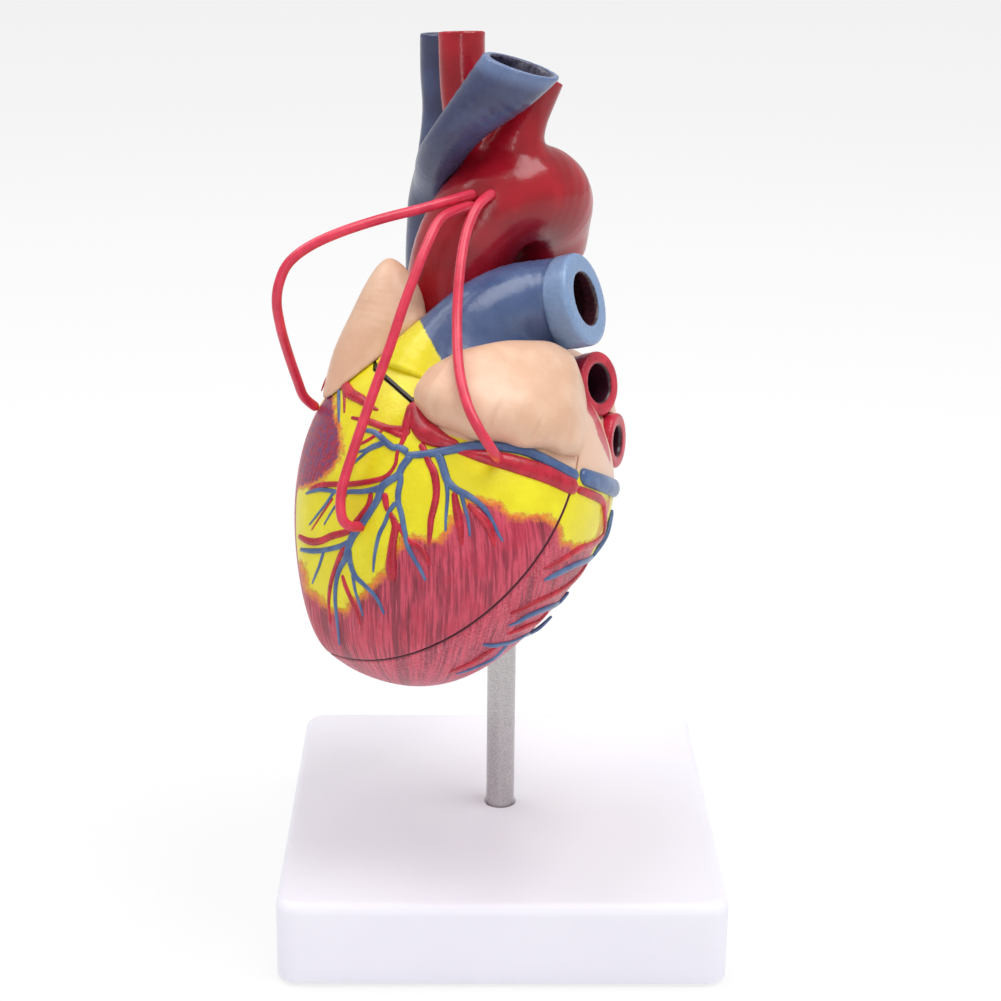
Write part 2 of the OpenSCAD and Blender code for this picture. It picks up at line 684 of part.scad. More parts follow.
module right_auricle() {
  color(atrium_peach) on_rod() moulded() difference() {
    vessel(lobe_path, level_keel, 14, 2, 0.9);
    heart_frame() {
      outside_form();
      relief([relief_paths[2]], seat_gap);
    }
    vessel(grown(trunk_root, 0.6), level_keel, 16);
    vessel(grown(aorta_path, 0.6), level_keel, 16);
  }
}

graft_r = graft_d / 2;
graft_keel = [0.5, -0.7, -0.5];
right_coronary_route = [
  [-9.3, 3.2, 199.6], [-9.5, -1.5, 200.8], [-15, -7.2, 200.2], [-22.3, -12, 199], [-32, -17, 197.4],
  [-42, -22, 195], [-49.6, -25, 192], [-54.6, -27, 188.4], [-57, -28, 184], [-58, -28, 178.5],
  [-57.4, -26, 171.5], [-56.2, -21, 163.5], [-54.3, -16, 154.5], [-52.8, -13, 149], [-49.5, -10.8, 145.2]
];
interventricular_route = [
  [-9.3, 2.6, 196.2], [-9.5, -3, 198.1], [-13, -8.3, 198], [-17.2, -14.2, 196.6], [-20.8, -22, 190.7],
  [-25.7, -31, 179.2], [-29.3, -37, 169.2], [-34.2, -42, 156.2], [-38.3, -46, 144.6], [-41, -50, 136],
  [-41, -52.5, 130], [-39, -52.5, 127.4], [-35.5, -49.5, 126.2]
];
circumflex_route = [
  [-4.4, 3.2, 199.4], [-4.2, -1.8, 201], [-7.6, -8.8, 199], [-10.5, -16, 193.3], [-12, -24.5, 185],
  [-12.6, -33, 175], [-12, -44.3, 166], [-10, -52.6, 159.5], [-7.5, -56.8, 155], [-5, -57.6, 151],
  [-3.2, -56, 147.6], [-2, -50.5, 144.4]
];
module graft(route) {
  color(graft_pink) on_rod() moulded() difference() {
    vessel([for (q = route) [q[0], q[1], q[2], graft_r]], graft_keel, 8);
    heart_frame() {
      outside_form();
      relief([relief_paths[0]], seat_gap);
    }
    vessel(grown(aorta_path, seat_gap), level_keel, 16);
  }
}
module graft_right_coronary() { graft(right_coronary_route); }
module graft_interventricular() { graft(interventricular_route); }
module graft_circumflex() { graft(circumflex_route); }

plinth();
plinth_feet();
support_rod();
rod_sleeve();
back_wall();
septum();
valve_plate();
tricuspid_valve();
mitral_valve();
aortic_valve();
pulmonary_valve();
papillary_muscles();
tendinous_cords();
aorta();
pulmonary_trunk();
superior_vena_cava();
inferior_vena_cava();
left_pulmonary_veins();
right_pulmonary_veins();
locating_pins();
front_wall();
left_auricle();
right_auricle();
graft_right_coronary();
graft_interventricular();
graft_circumflex();
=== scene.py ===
import math

import bpy
import numpy as np
from mathutils import Matrix


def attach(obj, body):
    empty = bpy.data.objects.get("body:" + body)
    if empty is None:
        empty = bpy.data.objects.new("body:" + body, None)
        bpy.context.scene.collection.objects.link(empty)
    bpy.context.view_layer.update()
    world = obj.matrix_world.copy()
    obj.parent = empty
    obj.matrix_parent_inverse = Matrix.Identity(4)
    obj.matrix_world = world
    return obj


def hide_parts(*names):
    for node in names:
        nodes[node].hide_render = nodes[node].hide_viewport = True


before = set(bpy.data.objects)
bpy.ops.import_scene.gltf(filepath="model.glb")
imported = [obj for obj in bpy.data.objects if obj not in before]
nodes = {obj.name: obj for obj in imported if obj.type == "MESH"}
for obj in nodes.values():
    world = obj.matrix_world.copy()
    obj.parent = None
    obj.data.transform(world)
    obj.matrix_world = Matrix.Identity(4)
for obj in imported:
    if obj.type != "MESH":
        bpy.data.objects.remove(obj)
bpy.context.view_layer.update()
scene = bpy.context.scene

# ---- the heart's own frame, in millimetres ---------------------------------------
# "along" runs from the apex to the crown, "left" to the left end of the seam, and
# "out" is the way the front wall lifts off.
APEX = np.array([-45.0, -38.5, 86.5])
LENGTH = 102.0
TURN, RISE, ROLL = np.radians([46.5, 43.5, 7.4])
ALONG = np.array([math.sin(TURN) * math.cos(RISE), math.cos(TURN) * math.cos(RISE), math.sin(RISE)])
LEVEL = np.array([math.cos(TURN), -math.sin(TURN), 0.0])
UPWARD = np.cross(LEVEL, ALONG)
LEFT = math.cos(ROLL) * LEVEL + math.sin(ROLL) * UPWARD
OUT = math.cos(ROLL) * UPWARD - math.sin(ROLL) * LEVEL
HEART = np.array([LEFT, ALONG, OUT])
# Foot of the upright line round which the muscle fibres stand
UPRIGHT = (-24.0, -18.0, 0.0)
# Half widths at four control shares of the length
HALF_LEFT = (54, 50, 51, 36)
HALF_FRONT = (26, 41, 44, 38)
HALF_RIGHT = (18, 37, 42, 40)
HALF_BACK = (56, 20, 44, 62)
# Thickness of the walls, WALL_LEFT at the left chamber, and the gaps at seam, crown and seats
WALL, WALL_LEFT, SEAM_GAP, CROWN_GAP, SEAT_GAP = 6.0, 8.0, 0.25, 0.6, 0.2
# Soft lip of both walls along the seam, and the top of the valve plate, along
LIP_DEPTH, LIP_WIDTH = 0.3, 0.9
PLATE_TOP = 66.0
# Outline, left and along, of the crown that stays with the back part
CROWN = np.array([[0.5, 64.5], [19, 59], [23, 72], [23, 125], [-75, 125], [-75, 79], [-16, 79]])

# ---- great vessels: x, y, z and radius at each station ---------------------------
# Their lumens run on past the cut ends by this much
BORE_REACH = 8
# Directions that turn the rings of a vessel: for standing and for level ones
KEEL_STANDING, KEEL_LEVEL = (0.3, -1, 0.2), (0.1, 0.2, 1)
AORTA = [
    (-10.6, -15.2, 139.2, 9.5), (-12, -1, 151, 11.5), (-13, 9.5, 163.5, 13), (-12.6, 13, 176, 13.6),
    (-9, 13.5, 187.3, 13.6), (-3, 14, 194.8, 13.5), (4.5, 17.5, 197.3, 13.6), (9.8, 24.5, 194.8, 14),
    (10.8, 31.5, 188, 13.2), (10.5, 36.5, 180.3, 12.5),
]
HEAD_ARTERY = [
    (-5, 17.5, 198.5, 7), (-9.5, 23, 212.5, 6.4), (-11.6, 27, 225.5, 6.2), (-11.9, 29, 239, 6.4),
]
CAROTID = [
    (-0.5, 15.5, 198, 9.5), (2, 17, 209, 8), (4.4, 18, 216, 6.4), (7.6, 19, 222, 5.3),
    (10.6, 19.5, 228.5, 4.9),
]
SUBCLAVIAN = [(6, 25, 198, 6), (6, 29, 211, 4), (6, 31.5, 220, 3.6), (6.5, 32.5, 228, 3.8)]
TRUNK = [
    (-23.3, -21.7, 147.8, 7.4), (-21.6, -19.6, 157, 8.8), (-16, -16, 163, 9.6), (-8, -10.5, 169.3, 9.6),
    (1.6, -3.4, 172.2, 10.2), (12.4, -0.4, 171.9, 11.6), (17.3, -2.2, 172.5, 12), (21.4, -4, 174, 12.1),
]
TRUNK_LUMEN = [q[:3] + (q[3] - (5 if i > 5 else 3),) for i, q in enumerate(TRUNK)]
# Where the thicker end of the trunk begins, and the way it runs
COLLAR_AT, COLLAR_WAY = np.array([15.6, 0.0, 172.2]), np.array([4.5, -2.0, 1.0])
RIGHT_BRANCH = [
    (9, -1, 171.5, 8), (11, 11, 171, 8), (8, 23.5, 168.5, 7.6), (-1, 35.5, 167.5, 7.2),
    (-9.5, 48, 165.5, 7),
]
CAVA = [
    (-12, 32, 139, 8.5), (-15, 34, 152, 8.5), (-18.6, 34.5, 167.5, 8.6), (-18.5, 34.5, 186.5, 8.5),
    (-16.2, 34.5, 203.5, 8), (-16.2, 38, 216.5, 6.6), (-17.2, 41, 227.5, 6.2), (-17.2, 41.5, 237, 6.2),
]
ARM_VEIN = [
    (-18, 33.5, 191.5, 7.5), (-18, 27, 199.5, 6.8), (-17.7, 18.5, 206.3, 6.2), (-14.8, 11.5, 212.5, 6),
    (-9.2, 7.5, 220, 6.7), (-1, 5.5, 228.5, 8.8), (5, 5, 235, 9.6), (10, 5, 240.5, 9.6),
]
# A place on a cutting plane and its direction: the arm vein's end and the foot of the cava
ARM_CUT = (np.array([5.2, 5.0, 232.9]), np.array([0.292, -0.0523, 0.955]))
CAVA_FOOT = (np.array([-12, 32, 139.0]), np.array([3.0, -2, -13]))
LOWER_CAVA = [(-11, 31, 124, 8.5), (-11, 34, 115, 8), (-11, 36, 107, 8.4)]
LEFT_VEINS = [
    [(14, 15, 141.5, 7.6), (21.6, 5.6, 147.3, 8.2), (26.2, 2.2, 148.7, 9.6)],
    [(18, 17, 131, 6.8), (26.4, 6, 131.8, 7.2), (31.7, 4, 132.2, 8.2)],
]
RIGHT_VEINS = [
    [(12, 24, 139, 6.5), (12, 32, 140.5, 6.5), (12, 39, 142, 7.2)],
    [(13, 24, 125, 6.5), (13, 33, 124, 6.5), (13, 40, 123, 7.2)],
]
# Room that the back wall leaves for the rod's sleeve
SLEEVE_SEAT = [(0, 0, 64, 6.55), (0, 0, 90, 6.55), (0, 0, 106.1, 6.55)]
# Middle and half widths of the left and the right atrium, and the thickness of their walls
ATRIA = [
    (np.array([14, 14.5, 134.0]), np.array([17.5, 18, 21.5])),
    (np.array([-11, 32, 131.0]), np.array([16, 16, 17.0])),
]
ATRIUM_WALL = 4
EAR_PATH = [
    (-37, -12, 149, 11), (-35, -8.5, 157, 10.8), (-31.5, -5, 165, 10.4), (-30.2, -2.5, 171.5, 8.6),
    (-30.3, -1, 177, 5.6), (-30.6, 0, 180.6, 2.8), (-30.7, 0.2, 182.2, 1),
]
GRAFT_RADIUS = 1.3
GRAFTS = {
    "graft_right_coronary": [
        (-9.3, 3.2, 199.6), (-9.5, -1.5, 200.8), (-15, -7.2, 200.2), (-22.3, -12, 199),
        (-32, -17, 197.4), (-42, -22, 195), (-49.6, -25, 192), (-54.6, -27, 188.4), (-57, -28, 184),
        (-58, -28, 178.5), (-57.4, -26, 171.5), (-56.2, -21, 163.5), (-54.3, -16, 154.5),
        (-52.8, -13, 149), (-49.5, -10.8, 145.2),
    ],
    "graft_interventricular": [
        (-9.3, 2.6, 196.2), (-9.5, -3, 198.1), (-13, -8.3, 198), (-17.2, -14.2, 196.6),
        (-20.8, -22, 190.7), (-25.7, -31, 179.2), (-29.3, -37, 169.2), (-34.2, -42, 156.2),
        (-38.3, -46, 144.6), (-41, -50, 136), (-41, -52.5, 130), (-39, -52.5, 127.4),
        (-35.5, -49.5, 126.2),
    ],
    "graft_circumflex": [
        (-4.4, 3.2, 199.4), (-4.2, -1.8, 201), (-7.6, -8.8, 199), (-10.5, -16, 193.3),
        (-12, -24.5, 185), (-12.6, -33, 175), (-12, -44.3, 166), (-10, -52.6, 159.5),
        (-7.5, -56.8, 155), (-5, -57.6, 151), (-3.2, -56, 147.6), (-2, -50.5, 144.4),
    ],
}

# ---- coronary vessels of the front: pixel of the photograph and half width -------
FRONT_VEINS = [
    [(577.5, 476.5, 1.3), (568, 472, 1.3), (548, 461.5, 1.25), (529, 452.5, 1.2), (511, 448, 1.15),
     (492, 446, 1.1), (475, 446, 1.1), (458.4, 448.2, 1.05), (441.6, 451.5, 0.95), (424.7, 454.1, 0.85),
     (404.7, 455.5, 0.74)],
    [(411.1, 455.8, 0.9), (402.6, 466.3, 0.85), (398.4, 474.7, 0.85), (388.9, 481.1, 0.85),
     (381.6, 487.4, 0.9), (378.4, 497.9, 0.85), (371.1, 510.5, 0.8), (362.6, 523.2, 0.85),
     (353.2, 535.8, 0.95), (348.9, 546.3, 0.85), (345.2, 558.9, 0.74), (339.5, 569.5, 0.64),
     (336.3, 582.1, 0.58), (335.3, 598.9, 0.53), (336.7, 615.8, 0.48), (338.4, 632.6, 0.37),
     (339.5, 645.3, 0.27)],
    [(407.9, 452.6, 0.85), (399.5, 447.4, 0.74), (393.2, 447.4, 0.74), (385.8, 442.1, 0.74),
     (380.5, 436.8, 0.69), (373.2, 431.6, 0.58), (364.7, 430.1, 0.48), (359.5, 428, 0.32)],
    [(384.7, 443.2, 0.69), (374.2, 445.3, 0.48), (363.7, 450.5, 0.37), (354.2, 452.6, 0.27)],
    [(382.6, 444.2, 0.58), (370, 449.5, 0.42), (359.5, 457.9, 0.37), (351.1, 465.9, 0.27)],
    [(380.5, 487.4, 0.85), (374.2, 489.5, 0.69), (361.6, 491.6, 0.58), (351.1, 491.6, 0.53),
     (342.6, 492.6, 0.48), (330, 490.5, 0.48), (319.5, 489.5, 0.53), (311.1, 491.6, 0.42),
     (305.8, 493.7, 0.27)],
    [(334.2, 491.6, 0.42), (325.8, 504.2, 0.37), (317.4, 514.7, 0.32), (308.9, 525.3, 0.21)],
    [(346.8, 494.7, 0.37), (335.3, 506.3, 0.32), (323.7, 525.3, 0.21)],
    [(399.5, 472.6, 0.74), (400.5, 481.1, 0.69), (398.4, 491.6, 0.69), (398.4, 502.1, 0.64),
     (401.6, 514.7, 0.64), (404.7, 531.6, 0.58), (407.9, 546.3, 0.58), (414.2, 558.9, 0.48),
     (420.5, 569.5, 0.42), (425.8, 581.1, 0.27)],
    [(396.3, 502.1, 0.58), (390, 510.5, 0.53), (384.7, 523.2, 0.48), (379.5, 533.7, 0.48),
     (376.3, 546.3, 0.42), (374.2, 558.9, 0.37), (373.2, 572.6, 0.21)],
    [(437.4, 452.6, 0.9), (441.6, 462.1, 0.85), (444.7, 472.6, 0.85), (447.9, 481.1, 0.8),
     (456.3, 489.5, 0.74), (466.8, 494.7, 0.69), (477.4, 502.1, 0.58), (485.8, 510.5, 0.53),
     (492.1, 521.1, 0.42), (498.4, 533.7, 0.32), (503.1, 541.7, 0.21)],
    [(446.2, 478.9, 0.58), (447.5, 493.7, 0.42), (446.8, 506.3, 0.37), (445.8, 518.9, 0.32),
     (445.4, 531.6, 0.21)],
    [(461.6, 493.7, 0.53), (463.7, 504.2, 0.42), (466.8, 514.7, 0.37), (468.9, 525.3, 0.32),
     (470, 536.8, 0.21)],
    [(353.2, 540, 0.8), (342.6, 545.3, 0.64), (332.1, 548.4, 0.58), (321.6, 550.5, 0.58),
     (311.1, 550.9, 0.58), (300.5, 549.5, 0.42)],
    [(323.7, 551.6, 0.48), (319.5, 565.3, 0.37), (315.3, 575.8, 0.32), (312.1, 583.8, 0.21)],
    [(348.9, 548.4, 0.74), (350.6, 563.2, 0.69), (355.3, 575.8, 0.64), (363.7, 584.2, 0.53),
     (374.2, 594.7, 0.48), (379.5, 603.2, 0.42), (384.3, 614.7, 0.27)],
    [(352.7, 573.7, 0.48), (355.3, 590.5, 0.37), (359.5, 603.2, 0.37), (363.3, 616.8, 0.21)],
    [(340.1, 357.9, 0.42), (339.5, 373.1, 0.53), (339, 390.5, 0.48), (339, 407.8, 0.42),
     (339, 423, 0.21)],
]
FRONT_ARTERIES = [
    [(413.2, 403.2, 1.17), (410, 415.8, 1.27), (406.8, 425.3, 1.11), (404.7, 434.7, 0.74),
     (401.6, 443.2, 0.53), (397.4, 452.6, 0.42), (395.3, 464.2, 0.42), (388.9, 473.7, 0.48),
     (380.5, 478.9, 0.58), (365.8, 482.1, 0.64), (348.9, 484.2, 0.64), (332.1, 484.2, 0.64),
     (319.5, 485.3, 0.64), (310, 489.1, 0.37)],
    [(413, 402, 1.1), (416, 414, 1.6), (421, 426, 2.1), (430, 434.5, 2.3), (443.7, 441, 1.6),
     (459, 444.5, 0.7)],
    [(406.8, 428.8, 0.74), (391.1, 428.4, 0.74), (380.5, 425.3, 0.69), (370, 421.1, 0.64),
     (361.6, 420, 0.42), (351.1, 417.9, 0.27)],
    [(382.6, 430.5, 0.37), (370, 438.9, 0.42), (361.6, 443.2, 0.37), (353.2, 445.7, 0.21)],
    [(456.6, 451.5, 0.4), (465, 452.5, 0.8), (478, 455.5, 1.2), (492, 458.5, 1.6), (506, 461.5, 1.85),
     (521, 466, 1.95), (538, 471.5, 2.0), (553, 477.5, 1.95), (566, 484, 1.85), (577, 487.5, 1.7)],
    [(420.5, 443.2, 0.69), (424.7, 451.6, 0.69), (428.9, 462.1, 0.69), (433.2, 470.5, 0.8),
     (435.7, 481.1, 0.8), (436.3, 493.7, 0.74), (434.2, 506.3, 0.74), (431.1, 518.9, 0.69),
     (430, 531.6, 0.58), (428.9, 545.3, 0.32)],
    [(384.7, 492.6, 0.64), (385.8, 502.1, 0.74), (387.3, 511.6, 0.42)],
    [(388.9, 510.5, 0.42), (395.3, 525.3, 0.85), (393.2, 540, 0.9), (391.5, 554.7, 1.06),
     (391.1, 569.5, 1.22), (392.1, 582.1, 0.8)],
    [(371.1, 492.6, 0.53), (368.9, 504.2, 0.69), (361.6, 514.7, 0.69), (353.2, 525.3, 0.74),
     (346.8, 531.6, 0.74), (332.1, 535.8, 0.8), (319.5, 541.1, 0.8), (308.9, 541.1, 0.8),
     (298.8, 536.2, 0.58)],
    [(346.4, 544.2, 0.69), (340.5, 554.7, 0.64), (336.3, 565.3, 0.58), (332.1, 577.9, 0.58),
     (329.4, 592.6, 0.53), (328.9, 607.4, 0.42), (330, 624.2, 0.27)],
    [(342.2, 574.7, 0.42), (345.8, 586.3, 0.58), (351.1, 598.9, 0.58), (356.3, 611.6, 0.53),
     (359.9, 625.3, 0.27)],
    [(397.4, 523.2, 0.53), (407.9, 540, 0.53), (418.4, 546.3, 0.64), (424.7, 554.7, 0.64),
     (429.4, 566.3, 0.32)],
    [(453.8, 491.6, 0.53), (456.3, 506.3, 0.8), (458.4, 518.9, 0.85), (460.5, 531.6, 0.69),
     (461.6, 546.3, 0.32)],
    [(467.9, 504.2, 0.53), (479.5, 514.7, 0.85), (487.9, 525.3, 0.95), (492.1, 535.8, 0.69),
     (494.6, 547.4, 0.27)],
    [(333.2, 497.9, 0.27), (321.6, 514.7, 0.27), (311.1, 530.5, 0.21)],
    [(385.6, 358.4, 0.8), (373.7, 353.6, 1.01), (360.7, 354.2, 1.01), (349.9, 358.4, 1.01),
     (341.2, 365.5, 0.74), (332.5, 370.9, 0.58), (326, 379.6, 0.48), (321.2, 391.5, 0.27)],
    [(355.3, 361.2, 0.8), (346.6, 370.9, 0.95), (344.4, 381.8, 1.11), (349.9, 392.6, 1.22),
     (360.7, 399.1, 1.11), (369.4, 405.6, 0.69), (378.5, 410.4, 0.27)],
    [(342.3, 379.6, 0.58), (344.4, 394.8, 0.42), (344.4, 413.2, 0.27)],
    [(351, 416.9, 0.27), (365, 420.8, 0.58), (378.1, 425.1, 0.69), (391.1, 430.6, 0.69),
     (401.9, 434.9, 0.69), (410.1, 430.6, 0.58)],
]
BACK_VEINS = [
    [(579.5, 475.5, 2.2), (592, 480, 2.35), (605, 484.5, 2.4), (618, 490, 2.4)],
    [(612, 510, 0.9), (606, 536, 0.95), (590, 558, 0.95), (576.3, 564.2, 0.95), (563.7, 570.5, 0.95),
     (553.2, 575.8, 0.85), (543.7, 580.4, 0.37)],
    [(568.9, 591.6, 0.58), (557.4, 603.2, 0.95), (542.6, 609.5, 1.01), (527.9, 615.8, 0.95),
     (517.4, 622.1, 0.69), (507.9, 625.9, 0.32)],
    [(552.1, 615.8, 0.53), (538.4, 628.4, 0.8), (523.7, 635.8, 0.74), (513.2, 641.1, 0.74),
     (500.5, 644.2, 0.85), (492.1, 645.3, 0.8), (482.6, 644.2, 0.37)],
    [(508.9, 642.1, 0.48), (496.3, 655.8, 0.85), (481.6, 664.2, 0.74), (466.8, 670.5, 0.58),
     (455.3, 674.1, 0.27)],
]
BACK_ARTERIES = [
    [(576.3, 489.1, 0.95), (588.9, 493.7, 1.11), (601.2, 500.4, 1.11), (603.7, 510.5, 1.01),
     (604.7, 523.2, 0.95), (601.6, 535.8, 0.95), (593.2, 544.2, 1.01), (580.5, 548.8, 1.01),
     (567.9, 556.8, 0.9), (555.3, 564.2, 0.74), (543.7, 568.8, 0.32)],
    [(588.9, 558.9, 0.58), (578.4, 574.7, 0.9), (563.7, 588.4, 1.01), (548.9, 596.8, 1.01),
     (534.2, 603.2, 0.95), (521.6, 609.5, 0.85), (510, 614.3, 0.42)],
    [(547.9, 611.6, 0.53), (536.3, 622.1, 0.95), (521.6, 628.4, 1.01), (506.8, 634.7, 0.42)],
    [(497.4, 646.9, 0.48), (485.8, 653.7, 0.95), (473.2, 662.1, 0.85), (458.4, 668.4, 0.69),
     (448.9, 673.1, 0.27)],
]
# Outlines of the painted areas, as pixels of the photograph; they run on past the heart's
# edge where it ends them
FAT = [
    (300, 340), (304, 384), (322, 389), (331.6, 392), (332, 404.5), (333.5, 418), (338.3, 432),
    (339.5, 447), (337, 459), (327.4, 471), (317.7, 479.7), (308, 485), (284, 487), (280, 562),
    (300, 565), (306, 590), (318, 600), (330, 612), (345, 613), (352, 602), (361, 600), (372, 588),
    (381, 578), (388, 575), (391, 560), (400, 547), (408, 538), (425, 541), (440, 541), (450, 528),
    (460, 512), (472, 503), (490, 502), (503, 511), (511, 518.5), (547, 518.5), (551, 524), (557, 527),
    (563, 545), (580, 547.5), (592, 545), (602, 538), (604.5, 526), (604.5, 508), (622, 490),
    (640, 380), (560, 320), (440, 300),
]
ATRIAL_PEACH = [
    (440, 320), (441, 358), (430, 369), (419, 386), (415, 399), (417, 410), (424, 421), (432, 425),
    (441, 432), (452, 436), (465, 440), (480, 444), (495, 444), (517, 445), (539, 451), (560, 462),
    (578, 471), (592, 476), (640, 482), (650, 330), (560, 300),
]
LEFT_EDGE = [
    (322, 389), (331.6, 392), (332, 404.5), (333.5, 418), (338.3, 432), (339.5, 447), (337, 459),
    (327.4, 471), (317.7, 479.7), (308, 485), (280, 487), (285, 389),
]
VEIN_PATCH = [
    (597, 345), (588, 369), (583, 386), (584, 406), (593, 419), (599, 438), (608, 458), (616, 474),
    (640, 474), (640, 335),
]
# Pixels along the groove between the chambers and the atrium, under the left auricle
GROOVE = [
    (425, 440), (440, 449), (460, 452), (480, 451), (500, 452), (522, 458), (542, 466), (562, 475),
    (582, 482), (600, 488), (616, 494),
]
# The trunk's yellow foot ends at the line between these two pixels
CONUS_LINE = [(423.6, 327.6), (440, 358)]

# ---- camera of the photograph -----------------------------------------------------
FOCAL, EYE = 2077.8, np.array([-9.3, -538.7, 304.2])
PITCH, YAW, TILT = 0.3362, 0.0159, 0.0100
MIDDLE = 500.5
# Distances from the eye between which the heart lies
SIGHT_FROM, SIGHT_TO = 430, 640
# Lens and film width that give this focal length in Blender
LENS_MM, FILM_MM = 74.73, 36


def camera_axes():
    """Right, up and forward of the camera: turned by the yaw, dipped by the pitch and rolled by the
    tilt."""
    flat = np.array([math.sin(YAW), math.cos(YAW), 0.0])
    side = np.array([math.cos(YAW), -math.sin(YAW), 0.0])
    top = np.array([0, 0, 1.0])
    ahead = flat * math.cos(PITCH) - top * math.sin(PITCH)
    up = top * math.cos(PITCH) + flat * math.sin(PITCH)
    return side * math.cos(TILT) + up * math.sin(TILT), up * math.cos(TILT) - side * math.sin(TILT), ahead


RIGHTWARD, UP, AHEAD = camera_axes()


# ---- curves and forms -------------------------------------------------------------
def unit(v):
    """Rows divided by their lengths."""
    return v / np.maximum(np.linalg.norm(v, axis=-1, keepdims=True), 1e-12)


def soft_step(x, low, high):
    """0 below low, 1 above high, and 3t^2 - 2t^3 between them."""
    t = np.clip((x - low) / (high - low), 0, 1)
    return t * t * (3 - 2 * t)


def cubic(c, s):
    """Smooth number along s from 0 to 1: the cubic Bernstein polynomial of four control numbers."""
    return c[0] * (1 - s) ** 3 + 3 * c[1] * s * (1 - s) ** 2 + 3 * c[2] * s * s * (1 - s) + c[3] * s ** 3


def curve(stations, steps):
    """Catmull-Rom curve through the stations, with that many steps between two of them."""
    p = np.asarray(stations, float)
    n = len(p) - 1
    i = np.repeat(np.arange(n), steps)
    t = np.tile(np.arange(steps) / steps, n)[:, None]
    a, b, c, d = p[np.maximum(i - 1, 0)], p[i], p[i + 1], p[np.minimum(i + 2, n)]
    square, cube = 2 * a - 5 * b + 4 * c - d, 3 * b - a - 3 * c + d
    return np.vstack([0.5 * (2 * b + (c - a) * t + square * t * t + cube * t ** 3), p[-1:]])


def carried_on(stations, distance, start=True, end=True):
    """Stations with each named end moved on straight by that distance, radius kept."""
    p = np.asarray(stations, float).copy()
    first, last = unit(p[0, :3] - p[1, :3]), unit(p[-1, :3] - p[-2, :3])
    if start:
        p[0, :3] += distance * first
    if end:
        p[-1, :3] += distance * last
    return p


def grown(stations, by):
    """Stations with their radii changed."""
    return np.asarray(stations, float) + [0, 0, 0, by]


def egg(s, t, inset=0.0, inset_left=None):
    """Place on the heart's egg form at the share s of its length and the angle t round its axis: left and
    out are 2 sqrt(s - s^2) times the half widths times cos t and sin t, and along is s times the
    length."""
    inset_left = inset if inset_left is None else inset_left
    round_ = 2 * np.sqrt(np.clip(s * (1 - s), 0, 1))
    a = np.where(np.cos(t) >= 0, cubic(HALF_LEFT, s) - inset_left, cubic(HALF_RIGHT, s) - inset)
    b = np.where(np.sin(t) >= 0, cubic(HALF_FRONT, s), cubic(HALF_BACK, s)) - inset
    along = inset + (LENGTH - 2 * inset) * s + 0 * t
    local = np.stack([round_ * a * np.cos(t), along, round_ * b * np.sin(t)], -1)
    return APEX + local @ HEART


def in_heart(p):
    """Places as left, along and out."""
    return (p - APEX) @ HEART.T


def half_widths(q):
    """Share of the length, and the half widths across and outward on the side on which a place lies."""
    s = np.clip(q[..., 1] / LENGTH, 0, 1)
    across = np.where(q[..., 0] >= 0, cubic(HALF_LEFT, s), cubic(HALF_RIGHT, s))
    return s, across, np.where(q[..., 2] >= 0, cubic(HALF_FRONT, s), cubic(HALF_BACK, s))


def egg_gradient(p):
    """The egg's level k0 (1 on the form) and half the gradient of its square, in the heart's frame."""
    q = in_heart(p)
    a, b = half_widths(q)[1:]
    half = LENGTH / 2
    m = q[..., 1] - half
    level = np.sqrt((q[..., 0] / a) ** 2 + (q[..., 2] / b) ** 2 + (m / half) ** 2)
    return level, np.stack([q[..., 0] / a ** 2, m / half ** 2, q[..., 2] / b ** 2], -1)


def egg_field(p):
    """Distance outside the egg form, nearly: level times (level - 1) over the gradient's length."""
    level, g = egg_gradient(p)
    return level * (level - 1) / np.maximum(np.linalg.norm(g, axis=-1), 1e-6)


def egg_normal(p):
    """Outward direction of the egg form at each place."""
    return unit(egg_gradient(p)[1]) @ HEART


def share_and_angle(p):
    """Share of the length and angle in degrees, from -180 to 180, of places on the egg form."""
    q = in_heart(p)
    s, a, b = half_widths(q)
    return s, np.degrees(np.arctan2(q[..., 2] / b, q[..., 0] / a))


def sight(pixels):
    """Directions of the lines of sight through pixels of the photograph."""
    x, y = np.asarray(pixels, float)[:, :2].T
    return unit(AHEAD + ((x - MIDDLE) / FOCAL)[:, None] * RIGHTWARD + ((MIDDLE - y) / FOCAL)[:, None] * UP)


def seen_at(p):
    """Pixels of the photograph at which places appear."""
    d = p - EYE
    depth = d @ AHEAD
    return np.stack([MIDDLE + FOCAL * (d @ RIGHTWARD) / depth, MIDDLE - FOCAL * (d @ UP) / depth], -1)


def inside_by(at, outline):
    """Distance inside a closed outline, negative outside it: the least distance to its sides, its sign
    from the number of sides that lie to the right, odd inside."""
    q = np.asarray(outline, float)
    best, odd = np.full(len(at), 1e9), np.zeros(len(at), bool)
    for a, b in zip(q, np.roll(q, -1, 0)):
        v = b - a
        share = np.clip((at - a) @ v / (v @ v), 0, 1)
        best = np.minimum(best, np.linalg.norm(at - a - share[:, None] * v, axis=1))
        rise = v[1] if v[1] else 1e-9
        odd ^= ((a[1] > at[:, 1]) != (b[1] > at[:, 1])) & (at[:, 0] < a[0] + (at[:, 1] - a[1]) / rise * v[0])
    return np.where(odd, best, -best)


